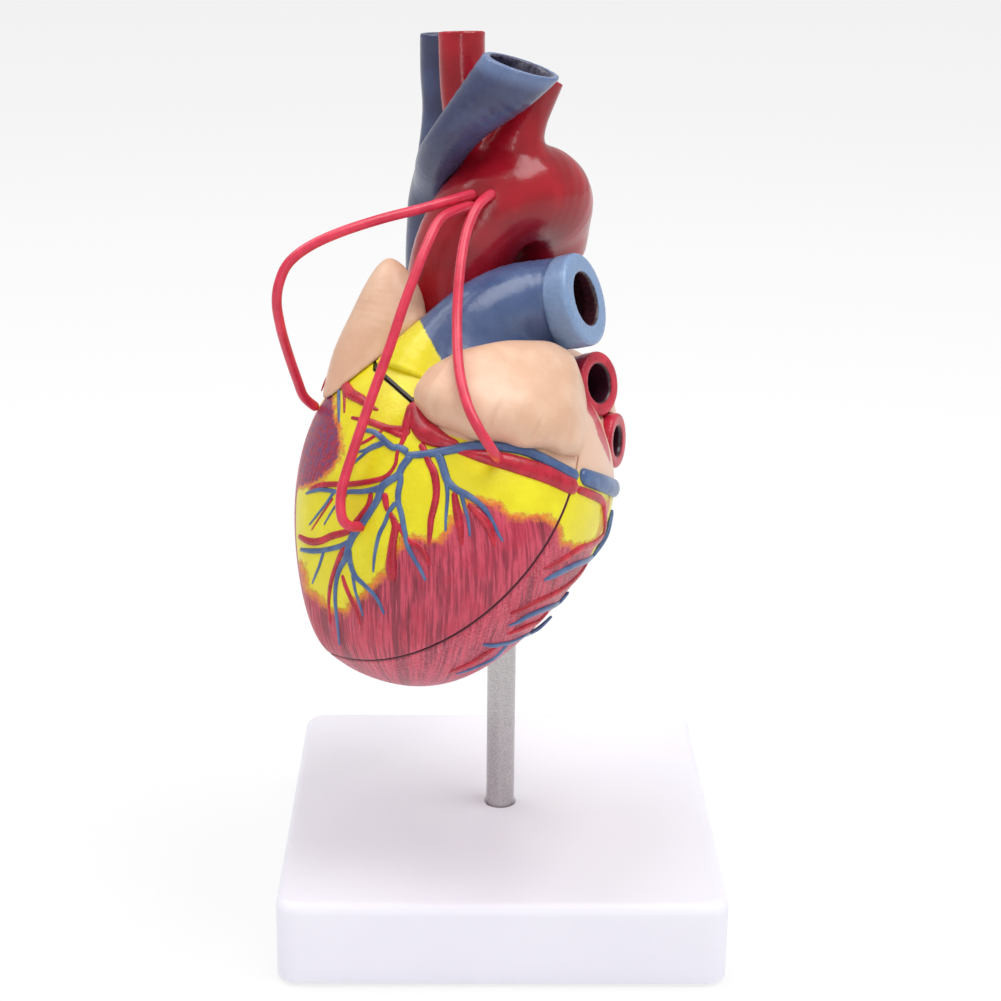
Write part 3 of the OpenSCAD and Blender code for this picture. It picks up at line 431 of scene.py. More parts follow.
def on_wall(pixels):
    """Places on the egg form seen at pixels of the photograph: on each line of sight the first point
    inside the form, closed in on by halving; where a line misses the form, its nearest point."""
    d = sight(pixels)
    reach = np.linspace(SIGHT_FROM, SIGHT_TO, SIGHT_TO - SIGHT_FROM + 1)
    field = egg_field(EYE + reach[:, None, None] * d)
    hit = (field < 0).any(0)
    first = np.where(hit, np.argmax(field < 0, axis=0), np.argmin(field, axis=0))
    far = reach[first]
    near = np.where(hit, reach[np.maximum(first - 1, 0)], far)
    for _ in range(24):
        middle = (near + far) / 2
        inside = egg_field(EYE + middle[:, None] * d) < 0
        far, near = np.where(inside, middle, far), np.where(inside, near, middle)
    return EYE + ((near + far) / 2)[:, None] * d


# ---- fields of round vessels ------------------------------------------------------
def tube(p, stations, steps=4):
    """Distance outside a round vessel: over the short straight lengths of its curve, the least of the
    distance to the length less the radius there."""
    q = curve(stations, steps)
    best = np.full(len(p), 1e9)
    for a, b in zip(q[:-1], q[1:]):
        v = b[:3] - a[:3]
        t = np.clip((p - a[:3]) @ v / (v @ v), 0, 1)
        best = np.minimum(best, np.linalg.norm(p - a[:3] - t[:, None] * v, axis=1) - a[3] - t * (b[3] - a[3]))
    return best


def past_end(p, stations):
    """Distance past the plane of a vessel's last cut end."""
    q = np.asarray(stations, float)[:, :3]
    return (p - q[-1]) @ unit(q[-1] - q[-2])


def joined(a, b, k):
    """Union of two fields with a fillet of about k: the lesser of both, less h^2 k / 4 with h = 1 - |a -
    b| / k."""
    h = np.maximum(k - np.abs(a - b), 0) / k
    return np.minimum(a, b) - h * h * k / 4


def common(a, b, k):
    """What two fields have in common, its edges rounded by about k."""
    return -joined(-a, -b, k)


def open_tube(p, stations, rim=0.5):
    """A vessel cut off square at its last station, the edge rounded."""
    return common(tube(p, carried_on(stations, 6, start=False)), past_end(p, stations), rim)


def closed_surface(field, low, high, cell):
    """Closed skin where a field is zero. The space is cut into cubes; each cube that the skin crosses
    gets one vertex at the mean of the crossings on its edges, and each crossed edge gets the quad of its
    four cubes. Then every vertex slides along the field's gradient onto the zero. The field is read at
    every place of the fine grid only in blocks near the skin; elsewhere one reading stands for the
    block."""
    low, high = np.asarray(low, float), np.asarray(high, float)
    block, reach_of_block = 4, 4.6
    shift = (block - 1) / 2
    n = np.ceil((high - low) / (block * cell)).astype(int) + 1
    values = field(low + block * cell * np.indices(n).reshape(3, -1).T).reshape(n)
    mask = np.abs(values) < reach_of_block * cell
    for axis in range(3):
        values, mask = np.repeat(values, block, axis), np.repeat(mask, block, axis)
    values[mask] = field(low + (np.argwhere(mask) - shift) * cell)
    inside = values < 0
    size = np.array(inside.shape)
    count = np.zeros(size - 1, int)
    for x, y, z in np.ndindex(2, 2, 2):
        count += inside[x:size[0] - 1 + x, y:size[1] - 1 + y, z:size[2] - 1 + z]
    active = (count > 0) & (count < 8)
    cells = np.argwhere(active)
    number = np.full(size - 1, -1)
    number[active] = np.arange(len(cells))
    total, hits = np.zeros((len(cells), 3)), np.zeros(len(cells))
    for axis in range(3):
        step = np.eye(3, dtype=int)[axis]
        others = [i for i in range(3) if i != axis]
        for u, v in np.ndindex(2, 2):
            a = cells.copy()
            a[:, others[0]] += u
            a[:, others[1]] += v
            fa, fb = values[tuple(a.T)], values[tuple((a + step).T)]
            cross = (fa < 0) != (fb < 0)
            t = np.where(cross, fa / np.where(cross, fa - fb, 1), 0)
            total += cross[:, None] * (a + t[:, None] * step)
            hits += cross
    verts = low + (total / hits[:, None] - shift) * cell
    quads = []
    for axis in range(3):
        step = np.eye(3, dtype=int)[axis]
        su, sv = np.eye(3, dtype=int)[(axis + 1) % 3], np.eye(3, dtype=int)[(axis + 2) % 3]
        end = size - step
        a = inside[:end[0], :end[1], :end[2]]
        b = inside[step[0]:, step[1]:, step[2]:]
        p = np.argwhere(a != b)
        p = p[(p > 0).all(1) & (p < size - 1).all(1)]
        quad = np.stack([number[tuple((p - d).T)] for d in (0 * su, su, su + sv, sv)], 1)
        turned = ~inside[tuple(p.T)]
        quad[turned] = quad[turned, ::-1]
        quads.append(quad)
    h = 0.04  # step at which the gradient is taken
    for _ in range(3):
        f = field(verts)
        g = np.stack([field(verts + h * e) - f for e in np.eye(3)], 1) / h
        move = -(f / np.maximum((g * g).sum(1), 0.2))[:, None] * g
        reach = np.linalg.norm(move, axis=1, keepdims=True)
        verts = verts + move * np.minimum(1, 0.6 * cell / np.maximum(reach, 1e-9))
    return verts, [np.vstack(quads)]


# ---- meshes -----------------------------------------------------------------------
def grid_faces(rows, cols, ring=True, start=0):
    """Quads between neighbouring points of a grid stored row by row; ring joins the last column to the
    first."""
    i = start + np.arange(rows - 1)[:, None] * cols
    j = np.arange(cols if ring else cols - 1)
    k = (j + 1) % cols
    return np.stack([i + j, i + k, i + k + cols, i + j + cols], -1).reshape(-1, 4)


def closed_grid(rings, first, last):
    """Rings of points closed at both ends by a pole: the points and the faces."""
    rows, cols = rings.shape[:2]
    verts = np.vstack([rings.reshape(-1, 3), first, last])
    j = np.arange(cols)
    k = (j + 1) % cols
    n = rows * cols
    low = np.stack([k, j, np.full(cols, n)], 1)
    high = np.stack([j + n - cols, k + n - cols, np.full(cols, n + 1)], 1)
    return verts, [grid_faces(rows, cols), low, high]


def volume(verts, faces):
    """Signed volume, as a sum over the triangles of each face."""
    total = 0.0
    for f in faces:
        for i in range(1, f.shape[1] - 1):
            a, b, c = verts[f[:, 0]], verts[f[:, i]], verts[f[:, i + 1]]
            total += np.einsum("ij,ij->", a, np.cross(b, c)) / 6
    return total


def new_object(name, verts, faces):
    """Mesh object from points in millimetres and face arrays, turned to face outward."""
    verts = np.asarray(verts, float)
    if volume(verts - verts.mean(0), faces) < 0:
        faces = [f[:, ::-1] for f in faces]
    mesh = bpy.data.meshes.new(name)
    mesh.vertices.add(len(verts))
    mesh.vertices.foreach_set("co", (verts * 0.001).astype(np.float32).ravel())
    corners = np.concatenate([f.ravel() for f in faces]).astype(np.int32)
    sizes = np.concatenate([np.full(len(f), f.shape[1]) for f in faces])
    mesh.loops.add(len(corners))
    mesh.loops.foreach_set("vertex_index", corners)
    mesh.polygons.add(len(sizes))
    mesh.polygons.foreach_set("loop_start", np.concatenate([[0], np.cumsum(sizes)[:-1]]).astype(np.int32))
    mesh.update(calc_edges=True)
    mesh.validate()
    obj = bpy.data.objects.new(name, mesh)
    scene.collection.objects.link(obj)
    return obj


def merged(parts):
    """Several meshes as one: points and faces with their numbers moved on."""
    verts, faces, start = [], [], 0
    for v, fs in parts:
        verts.append(v)
        faces += [f + start for f in fs]
        start += len(v)
    return np.vstack(verts), faces


def places(obj):
    """The points of a mesh in millimetres."""
    co = np.zeros(len(obj.data.vertices) * 3, np.float32)
    obj.data.vertices.foreach_get("co", co)
    return co.reshape(-1, 3).astype(float) * 1000


def carve(obj, cutter, operation="DIFFERENCE"):
    """Cuts one closed mesh with another and deletes the cutter."""
    cut = obj.modifiers.new("cut", "BOOLEAN")
    cut.operation, cut.object, cut.solver = operation, cutter, "MANIFOLD"
    mesh = bpy.data.meshes.new_from_object(obj.evaluated_get(bpy.context.evaluated_depsgraph_get()))
    obj.modifiers.clear()
    old = obj.data
    obj.data = mesh
    bpy.data.meshes.remove(old)
    bpy.data.objects.remove(cutter)
    return obj


def paint_mask(obj, name, values):
    """Stores a number at each point of the mesh, which the finish reads as an attribute."""
    obj.data.attributes.new(name, "FLOAT", "POINT").data.foreach_set("value", np.asarray(values, np.float32))


def set_down(obj, finish, body, slot, *replaced, sharp=None):
    """Gives a finished piece its material, its body and the nodes that it stands for; the slot is not used."""
    obj.data.materials.clear()
    obj.data.materials.append(finish)
    obj.data.polygons.foreach_set("use_smooth", np.ones(len(obj.data.polygons), bool))
    if sharp:
        obj.data.set_sharp_from_angle(angle=math.radians(sharp))
    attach(obj, body)
    if replaced:
        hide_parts(*replaced)
    return obj


def swept(line, side, up, wide, high, sides):
    """Vessel along a line: at each place the section point is the place plus wide cos a side plus high
    sin a up."""
    a = 2 * np.pi * np.arange(sides) / sides
    rings = (line[:, None] + (wide[:, None] * np.cos(a))[..., None] * side[:, None]
             + (high[:, None] * np.sin(a))[..., None] * up[:, None])
    return closed_grid(rings, line[0], line[-1])


def rounded_ends(line, radius):
    """Radii that close at both ends as a circle does: radius times sqrt(1 - (1 - d/r)^2) near an end."""
    run = np.concatenate([[0], np.cumsum(np.linalg.norm(np.diff(line, axis=0), axis=1))])
    d = np.minimum(run, run[-1] - run) / np.maximum(radius, 1e-6)
    return radius * np.sqrt(np.maximum(1 - (1 - np.minimum(d, 1)) ** 2, 0.004))


def in_relief(routes, rise, stouter):
    """Vessels half sunk in the wall: each route of pixels is laid on the egg form and gets oval sections.
    Half their width is stouter times what the route gives, and they stand out by rise times that."""
    parts = []
    for route in routes:
        q = curve(route, 10)
        line = on_wall(q)
        normal = egg_normal(line)
        side = unit(np.cross(unit(np.gradient(line, axis=0)), normal))
        radius = rounded_ends(line, stouter * q[:, 2])
        parts.append(swept(line, side, normal, radius, rise * radius, 12))
    return merged(parts)


# ---- finishes ---------------------------------------------------------------------
class Link:
    """One output of a node. Arithmetic on it adds Math nodes to its material."""

    def __init__(self, finish, socket):
        self.finish, self.socket = finish, socket

    def math(self, operation, a, b=0.0):
        return self.finish.node("ShaderNodeMath", {"operation": operation}, {0: a, 1: b})

    def __add__(self, other):
        return self.math("ADD", self, other)

    def __sub__(self, other):
        return self.math("SUBTRACT", self, other)

    def __mul__(self, other):
        return self.math("MULTIPLY", self, other)

    def __rsub__(self, other):
        return self.math("SUBTRACT", other, self)

    def step(self, low, high):
        """0 at low and 1 at high with a soft run between."""
        return self.finish.node("ShaderNodeMapRange", {"interpolation_type": "SMOOTHSTEP"},
                                {"Value": self, "From Min": low, "From Max": high})

    def most(self, other):
        return self.math("MAXIMUM", self, other)

    def size(self):
        return self.math("ABSOLUTE", self)


class Finish:
    """A node material built up from expressions."""

    def __init__(self, name):
        self.material = bpy.data.materials.new(name)
        self.material.use_nodes = True
        self.tree = self.material.node_tree
        self.shader = self.tree.nodes["Principled BSDF"]
        self.place = self.vector("SCALE", self.node("ShaderNodeTexCoord", output="Object"), scale=1000.0)

    def node(self, kind, settings=(), inputs=(), output=0):
        n = self.tree.nodes.new(kind)
        for key, value in dict(settings).items():
            if key == "stops":
                ramp = n.color_ramp
                while len(ramp.elements) < len(value):
                    ramp.elements.new(0.5)
                for element, (at, colour) in zip(ramp.elements, value):
                    element.position, element.color = at, colour
            else:
                setattr(n, key, value)
        for key, value in dict(inputs).items():
            if isinstance(value, Link):
                self.tree.links.new(value.socket, n.inputs[key])
            else:
                n.inputs[key].default_value = value
        return Link(self, n.outputs[output])

    def vector(self, operation, a, b=None, scale=None):
        inputs = {0: a}
        if b is not None:
            inputs[1] = b
        if scale is not None:
            inputs["Scale"] = scale
        return self.node("ShaderNodeVectorMath", {"operation": operation}, inputs,
                         "Value" if operation in ("DOT_PRODUCT", "LENGTH") else "Vector")

    def along(self, direction):
        """How far a place lies along a direction, in millimetres."""
        return self.vector("DOT_PRODUCT", self.place, tuple(float(x) for x in direction))

    def mask(self, name):
        return self.node("ShaderNodeAttribute", {"attribute_name": name}, output="Fac")

    def noise(self, size, detail=2.0, at=None, roughness=0.5):
        """Cloudy noise from 0 to 1 whose patches are about size millimetres across."""
        where = self.place if at is None else at
        return self.node("ShaderNodeTexNoise", (), {
            "Vector": where, "Scale": 1.0 / size, "Detail": detail, "Roughness": roughness})

    def mix(self, factor, a, b):
        return self.node("ShaderNodeMix", {"data_type": "RGBA"}, {0: factor, 6: a, 7: b}, 2)

    def upright(self, width, length):
        """Noise drawn out upright round the heart, width across and length high, in millimetres: it is
        read at the level direction from the heart's middle, which is the same all the way up."""
        from_line = self.vector("SUBTRACT", self.place, UPRIGHT)
        level = self.vector("NORMALIZE", self.vector("MULTIPLY", from_line, (1.0, 1.0, 0.0)))
        high = self.vector("MULTIPLY", self.place, (0.0, 0.0, 1.0 / length))
        drawn_out = self.vector("ADD", self.vector("SCALE", level, scale=36.0 / width), high)
        return self.noise(1.0, 3.0, drawn_out, 0.6)

    def bump(self, height, distance):
        """Raises the surface by height times distance millimetres."""
        link = self.node("ShaderNodeBump", (), {
            "Strength": 1.0, "Distance": distance * 0.001, "Height": height})
        self.tree.links.new(link.socket, self.shader.inputs["Normal"])

    def done(self, colour, rough, **constants):
        for key, value in (("Base Color", colour), ("Roughness", rough)):
            if isinstance(value, Link):
                self.tree.links.new(value.socket, self.shader.inputs[key])
            else:
                self.shader.inputs[key].default_value = value
        for key, value in constants.items():
            self.shader.inputs[key.replace("_", " ")].default_value = value
        return self.material


def paint(r, g, b):
    """Colour written as 0 to 255 values of the screen, as the linear numbers that a shader takes."""
    c = np.array([r, g, b]) / 255
    linear = np.where(c <= 0.04045, c / 12.92, ((c + 0.055) / 1.055) ** 2.4)
    return (*[float(x) for x in linear], 1.0)


def lacquer(name, base, shade, rough=0.3, patch=6.0, ripple=0.05, bore=None, light=None, foot=None):
    """Sprayed paint under clear lacquer: two near tones in clouds, and a faint orange peel. Where the
    piece has masks for them, a lighter end and its foot have their own colours, and its bore gets a dark
    colour that is partly dark paint and partly painted shade inside the lumen."""
    f = Finish(name)
    cloud = f.noise(patch, 3.0)
    fine = f.noise(1.1, 3.0)
    colour = f.mix(cloud.step(0.35, 0.7), shade, base)
    if light:
        colour = f.mix(f.mask("light").step(0.2, 0.8) * (fine * 0.5 + 0.6), colour, light)
    if foot:
        colour = f.mix((f.mask("foot") + (fine - 0.5) * 0.8).step(-0.3, 0.3), colour, foot)
    # Bore: dark colour in the lumen, partly dark paint and partly painted shade of the hollow inside
    if bore:
        colour = f.mix((f.mask("bore") + (fine - 0.5) * 0.4).step(0.25, 0.75), colour,
                       f.mix(fine.step(0.35, 0.65), bore[0], bore[1]))
    f.bump(f.noise(0.8, 2.0) + f.noise(3.0, 1.0) * 2.0, ripple)
    return f.done(colour, f.noise(2.0) * 0.12 + (rough - 0.06))


def wall_paint():
    """Hand-painted wall: crimson muscle with upright fibres and darker furrows every few millimetres,
    yellow fat that feathers through orange into it, peach above the groove, a rough crimson and purple
    left edge, a red patch round the lung veins, painted shade in near-black along the crown's gap and
    the seam's painted line; pale pink inside."""
    f = Finish("heart_wall_paint")
    fibre = f.upright(0.5, 9.0)
    furrow = f.upright(2.2, 30.0)
    fine = f.noise(1.3, 3.0)
    cloud = f.noise(7.0, 2.0)
    speck = f.noise(0.5, 2.0)
    out = f.mask("before_seam")
    muscle = f.mix(fibre.step(0.34, 0.62), paint(150, 36, 62), paint(212, 74, 98))
    muscle = f.mix(cloud.step(0.42, 0.68) * 0.55, muscle, paint(190, 40, 68))
    muscle = f.mix((1.0 - furrow.step(0.4, 0.5)) * 0.7, muscle, paint(116, 24, 46))
    muscle = f.mix((1.0 - out.step(-1.5, 0)) * speck.step(0.4, 0.7) * 0.5, muscle, paint(228, 118, 134))
    fat = f.mask("fat") + (f.noise(2.6, 4.0, roughness=0.7) - 0.5) * 4.5
    blend = f.mix(fat.step(-1.3, 0.5), muscle, paint(232, 132, 40))
    yellow = f.mix(cloud.step(0.4, 0.7), paint(230, 216, 20), paint(238, 228, 30))
    blend = f.mix(fat.step(0.2, 1.7), blend, yellow)
    edge = f.mix(speck.step(0.45, 0.6), paint(150, 30, 60), paint(188, 44, 74))
    edge = f.mix(fine.step(0.42, 0.6), edge, paint(120, 62, 110))
    blend = f.mix((f.mask("left_edge") + (fine - 0.5) * 2.2).step(-0.3, 0.5), blend, edge)
    blend = f.mix((f.mask("peach") + (fine - 0.5) * 0.5).step(-0.3, 0.3), blend, paint(232, 192, 166))
    blend = f.mix((f.mask("vein_patch") + (fine - 0.5) * 0.6).step(-0.3, 0.3), blend, paint(198, 44, 66))
    seam = f.mix(f.mask("share").step(0.62, 0.64), paint(96, 22, 42), paint(206, 158, 124))
    seam_line = (1.0 - (out - 0.12).size().step(0.3, 0.55)) * f.mask("crown").step(0.1, 0.4)
    skin = f.mask("depth").step(-1.3, -0.7)
    blend = f.mix(seam_line * skin, blend, seam)
    # painted shade: near-black paint on the outer skin along the crown's gap stands in for the shadow in that
    # gap
    gap_shade = f.mask("crown").size() - f.mask("thick") * 0.12
    gap_shade = (1.0 - (gap_shade + (fine - 0.5) * 0.2).step(0.5, 0.75)) * out.step(1.0, 2.0)
    blend = f.mix(gap_shade * skin, blend, paint(26, 16, 18))
    inner = f.mix(fine.step(0.3, 0.7), paint(214, 132, 128), paint(228, 160, 150))
    blend = f.mix(skin, inner, blend)
    bare = 1.0 - fat.step(0.2, 1.7).most(f.mask("peach").step(-0.3, 0.3))
    stipple = speck * (1.0 - out.step(-1.5, 0)) * bare * 0.5
    f.bump(fibre * bare + furrow * bare * 1.6 + fine * 0.4 + cloud * 0.6 + stipple, 0.35)
    return f.done(blend, fine * 0.16 + 0.24)


def brushed_steel():
    """Stainless rod: fine turning marks round it and faint specks."""
    f = Finish("stainless_rod")
    z = f.along((0, 0, 1))
    rings = f.noise(0.25, 2.0, f.node("ShaderNodeCombineXYZ", (), {0: z, 1: 0.0, 2: 0.0}))
    specks = f.noise(0.4, 2.0)
    f.bump(rings * 0.5 + specks * 0.5, 0.01)
    return f.done(f.mix(specks.step(0.35, 0.75), paint(176, 172, 172), paint(206, 200, 200)),
                  rings * 0.08 + 0.24, Metallic=1.0)


def moulded_plastic():
    """Pale glossy plastic of the base with faint flow marks."""
    f = Finish("base_plastic")
    cloud = f.noise(40.0, 2.0)
    fine = f.noise(0.5, 2.0)
    f.bump(fine, 0.004)
    return f.done(f.mix(cloud.step(0.3, 0.7), paint(241, 239, 249), paint(244, 242, 251)), fine * 0.08 + 0.34)


WALL_PAINT = wall_paint()
VEIN_PAINT = lacquer("vein_blue_lacquer", paint(88, 116, 160), paint(66, 92, 140), 0.3, 4.0)
ARTERY_PAINT = lacquer("artery_red_lacquer", paint(200, 34, 58), paint(168, 22, 44), 0.28, 4.0)
# The bore colour pairs below are partly dark paint and partly painted shade inside the lumens
RING_PAINT = lacquer("lung_vein_red", paint(206, 44, 68), paint(180, 30, 54), 0.28, 4.0,
                     bore=(paint(60, 22, 36), paint(48, 18, 30)))
AORTA_PAINT = lacquer("aorta_crimson_lacquer", paint(176, 20, 38), paint(148, 14, 28), 0.2, 12.0, 0.04,
                      bore=(paint(96, 16, 28), paint(72, 12, 24)))
TRUNK_PAINT = lacquer("trunk_blue_lacquer", paint(84, 104, 146), paint(68, 88, 130), 0.26, 12.0, 0.04,
                      bore=(paint(66, 30, 38), paint(50, 24, 34)), light=paint(134, 162, 200),
                      foot=paint(238, 226, 30))
CAVA_PAINT = lacquer("cava_slate_lacquer", paint(74, 84, 120), paint(60, 64, 96), 0.26, 12.0, 0.04,
                     bore=(paint(40, 40, 58), paint(80, 74, 100)), light=paint(108, 128, 168))
GRAFT_PAINT = lacquer("graft_pink_lacquer", paint(226, 58, 86), paint(206, 44, 72), 0.3, 5.0, 0.02)
PEACH_PAINT = lacquer("auricle_peach_paint", paint(230, 192, 164), paint(220, 176, 146), 0.34, 9.0, 0.06)
LEAFLET = lacquer("leaflet_rose", paint(232, 182, 170), paint(216, 160, 150), 0.35, 3.0)
INNER = lacquer("inner_muscle", paint(206, 104, 108), paint(186, 82, 90), 0.36, 4.0, 0.1)
CORD = lacquer("cord_cream", paint(240, 226, 200), paint(226, 208, 178), 0.4, 2.0)
RUBBER = lacquer("foot_rubber", paint(62, 62, 64), paint(52, 52, 54), 0.6, 2.0, 0.03)
STEEL = brushed_steel()
PLASTIC = moulded_plastic()

# ---- walls ------------------------------------------------------------------------
def shares(count):
    """Shares of the length with even steps along the surface: (1 - cos) / 2 of even angles, without the
    poles."""
    return (1 - np.cos(np.pi * np.arange(1, count) / count)) / 2


def poles(inset=0.0):
    """The two ends of the egg form."""
    return egg(np.array([0.0, 1.0]), np.zeros(2), inset)


def egg_hollow():
    """Block of the walls' hollow: the egg form less the walls' thickness."""
    s, t = np.meshgrid(shares(60), np.linspace(0, 2 * np.pi, 90, endpoint=False), indexing="ij")
    tips = poles(WALL)
    return new_object("hollow", *closed_grid(egg(s, t, WALL, WALL_LEFT), tips[:1], tips[1:]))


def lip(edge):
    """How far a wall draws in at a distance from its edge."""
    return LIP_DEPTH * np.maximum(1 - edge / LIP_WIDTH, 0) ** 2


def prism(outline, low, high, name):
    """Closed block over an outline of left and along, from low to high along out."""
    n = len(outline)
    local = np.array([[x, y, z] for z in (low, high) for x, y in outline], float)
    j = np.arange(n)
    k = (j + 1) % n
    faces = [np.arange(n)[None], n + np.arange(n)[None, ::-1], np.stack([k, j, j + n, k + n], 1)]
    return new_object(name, APEX + local @ HEART, faces)


def widened(outline, by):
    """Outline with every side moved out by that much, corners mitred."""
    p = np.asarray(outline, float)
    before, after = unit(p - np.roll(p, 1, 0)), unit(np.roll(p, -1, 0) - p)
    turn = np.stack([before[:, 1], -before[:, 0]], 1) + np.stack([after[:, 1], -after[:, 0]], 1)
    area = (p[:, 0] * np.roll(p[:, 1], -1) - p[:, 1] * np.roll(p[:, 0], -1)).sum()
    turn = unit(turn) * np.sign(area)
    lean = (turn * np.stack([after[:, 1], -after[:, 0]], 1)).sum(1) * np.sign(area)
    return p + by * turn / np.maximum(lean, 0.3)[:, None]


def front_side(gap, crown_gap):
    """All that lifts off with the front wall: the space before the seam without the crown."""
    box = prism([(-90, -20), (90, -20), (90, 130), (-90, 130)], gap, 120, "front_space")
    return carve(box, prism(widened(CROWN, crown_gap), -150, 150, "crown_space"))


OUTSIDE = -9  # what a mask says well outside its area


def wall_masks(obj):
    """Paint masks of a wall. Where it faces the camera, an area's mask is the distance in millimetres
    inside its outline of pixels; turned away, the fat starts at half the length and the peach at the
    groove."""
    p = places(obj)
    s, t = share_and_angle(p)
    q = in_heart(p)
    at = seen_at(p)
    pixel = np.linalg.norm(p - EYE, axis=1) / FOCAL
    facing = soft_step(-(unit(p - EYE) * egg_normal(p)).sum(1), 0.04, 0.16)

    def area(outline, hidden):
        return np.clip(facing * inside_by(at, outline) * pixel + (1 - facing) * hidden, -20, 20)

    groove_s, groove_t = share_and_angle(on_wall(GROOVE))
    order = np.argsort(groove_t)
    limit = np.interp(t, [-150, *groove_t[order], 75], [0.66, *groove_s[order], 0.56])
    left_part = np.minimum((s - limit) * LENGTH, (68 - t) * 0.7)
    right_part = np.minimum((s - 0.655) * LENGTH, (t - np.interp(s, [0.643, 0.847], [86, 108])) * 0.7)
    wrap = np.minimum((s - 0.66) * LENGTH, (np.abs(t) - 140) * 0.7)
    field = egg_field(p)
    peach = np.maximum(area(ATRIAL_PEACH, np.maximum(left_part, wrap)), right_part)
    for centre, radii in ATRIA:
        beyond = (np.linalg.norm((p - centre) / radii, axis=1) - 1) * radii.mean()
        on_atrium = np.where(field > 0.4, np.minimum(field - 0.4, 2 - beyond) * 2, OUTSIDE)
        peach = np.maximum(peach, on_atrium)
    for name, values in (
        ("fat", area(FAT, (s - 0.5) * LENGTH)),
        ("peach", np.clip(peach, OUTSIDE, 9)),
        ("left_edge", area(LEFT_EDGE, OUTSIDE)),
        ("vein_patch", np.where(q[:, 2] < 8, area(VEIN_PATCH, OUTSIDE), OUTSIDE)),
        ("before_seam", q[:, 2]),
        ("share", s),
        ("crown", -inside_by(q[:, :2], CROWN)),
        ("thick", soft_step(q[:, 0], -1.5, 1)),
        ("depth", np.clip(field, OUTSIDE, 3)),
    ):
        paint_mask(obj, name, values)


def front_wall():
    """Front shell: the egg form less its hollow, kept to the front side, with a soft lip along the seam."""
    columns = np.radians(np.concatenate([np.linspace(-4, 184, 280), np.linspace(190, 350, 17)]))
    s, t = np.meshgrid(shares(270), columns, indexing="ij")
    rings = egg(s, t)
    edge = np.abs(in_heart(rings)[..., 2] - SEAM_GAP)
    rings = rings - lip(edge)[..., None] * egg_normal(rings)
    tips = poles()
    shell = new_object("front_wall_shell", *closed_grid(rings, tips[:1], tips[1:]))
    carve(shell, egg_hollow())
    carve(shell, front_side(SEAM_GAP, CROWN_GAP), "INTERSECT")
    wall_masks(shell)
    return set_down(shell, WALL_PAINT, "front", "muscle", "front_wall", sharp=35)


def whole_back(p):
    """Field of the egg form with the two atria, joined with soft valleys."""
    field = egg_field(p.reshape(-1, 3))
    for centre, radii in ATRIA:
        q = (p.reshape(-1, 3) - centre) / radii
        level = np.linalg.norm(q, axis=1)
        distance = level * (level - 1) / np.maximum(np.linalg.norm(q / radii, axis=1), 1e-6)
        field = joined(field, distance, 4.0)
    return field.reshape(p.shape[:-1])


def ball(centre, radii, rows, cols):
    """Closed oval ball."""
    s, t = np.meshgrid(np.pi * np.arange(1, rows) / rows, 2 * np.pi * np.arange(cols) / cols, indexing="ij")
    rings = centre + radii * np.stack([np.sin(s) * np.cos(t), np.sin(s) * np.sin(t), np.cos(s)], -1)
    return closed_grid(rings, (centre + radii * [0, 0, 1])[None], (centre - radii * [0, 0, 1])[None])


def round_vessel(stations, keel=KEEL_STANDING, sides=48):
    """Closed round vessel with flat ends through the stations."""
    q = curve(stations, 6)
    line, direction = q[:, :3], unit(np.gradient(q[:, :3], axis=0))
    side = unit(np.cross(direction, np.asarray(keel, float)))
    return swept(line, side, np.cross(side, direction), q[:, 3], q[:, 3], sides)


def back_wall():
    """Back shell: a ray from the egg's middle through each grid place of the egg, its length where the
    field of egg and atria turns zero, coming from outside; less the front side, the hollows and the
    vessels' seats."""
    middle = APEX + LENGTH / 2 * ALONG
    columns = np.radians(np.concatenate([np.linspace(-182, 2, 250, endpoint=False),
                                         np.linspace(2, 178, 70, endpoint=False)]))
    s, t = np.meshgrid(shares(210), columns, indexing="ij")
    direction = unit(egg(s, t) - middle)
    reach = np.linspace(84, 24, 61)
    flat = direction.reshape(-1, 3)
    outer = np.full(len(flat), reach[0])
    found = np.zeros(len(flat), bool)
    for r in reach:
        inside = whole_back(middle + r * flat) < 0
        outer = np.where(inside & ~found, r, outer)
        found |= inside
    near, far = outer + 1.0, outer
    for _ in range(14):
        half = (near + far) / 2
        inside = whole_back(middle + half[:, None] * flat) < 0
        far, near = np.where(inside, half, far), np.where(inside, near, half)
    rings = (middle + ((near + far) / 2)[:, None] * flat).reshape(*s.shape, 3)
    tips = poles()
    tips[1] = rings[-1].mean(0)
    drawn_in = np.where(egg_field(rings) < 0.5, lip(np.abs(in_heart(rings)[..., 2])), 0)
    rings = rings - drawn_in[..., None] * egg_normal(rings)
    shell = new_object("back_wall_shell", *closed_grid(rings, tips[:1], tips[1:]))
    carve(shell, front_side(0, 0))
    carve(shell, egg_hollow())
    for centre, radii in ATRIA:
        carve(shell, new_object("hollow", *ball(centre, radii - ATRIUM_WALL, 40, 60)))
    for stations in (carried_on(AORTA, 4, end=False), carried_on(TRUNK, 4, end=False), CAVA, LOWER_CAVA,
                     *LEFT_VEINS, *RIGHT_VEINS):
        keel = KEEL_STANDING if len(stations) > 3 or stations is LOWER_CAVA else KEEL_LEVEL
        carve(shell, new_object("seat", *round_vessel(grown(stations, SEAT_GAP), keel=keel)))
    carve(shell, new_object("seat", *round_vessel(SLEEVE_SEAT)))
    wall_masks(shell)
    return set_down(shell, WALL_PAINT, "heart", "muscle", "back_wall", sharp=35)


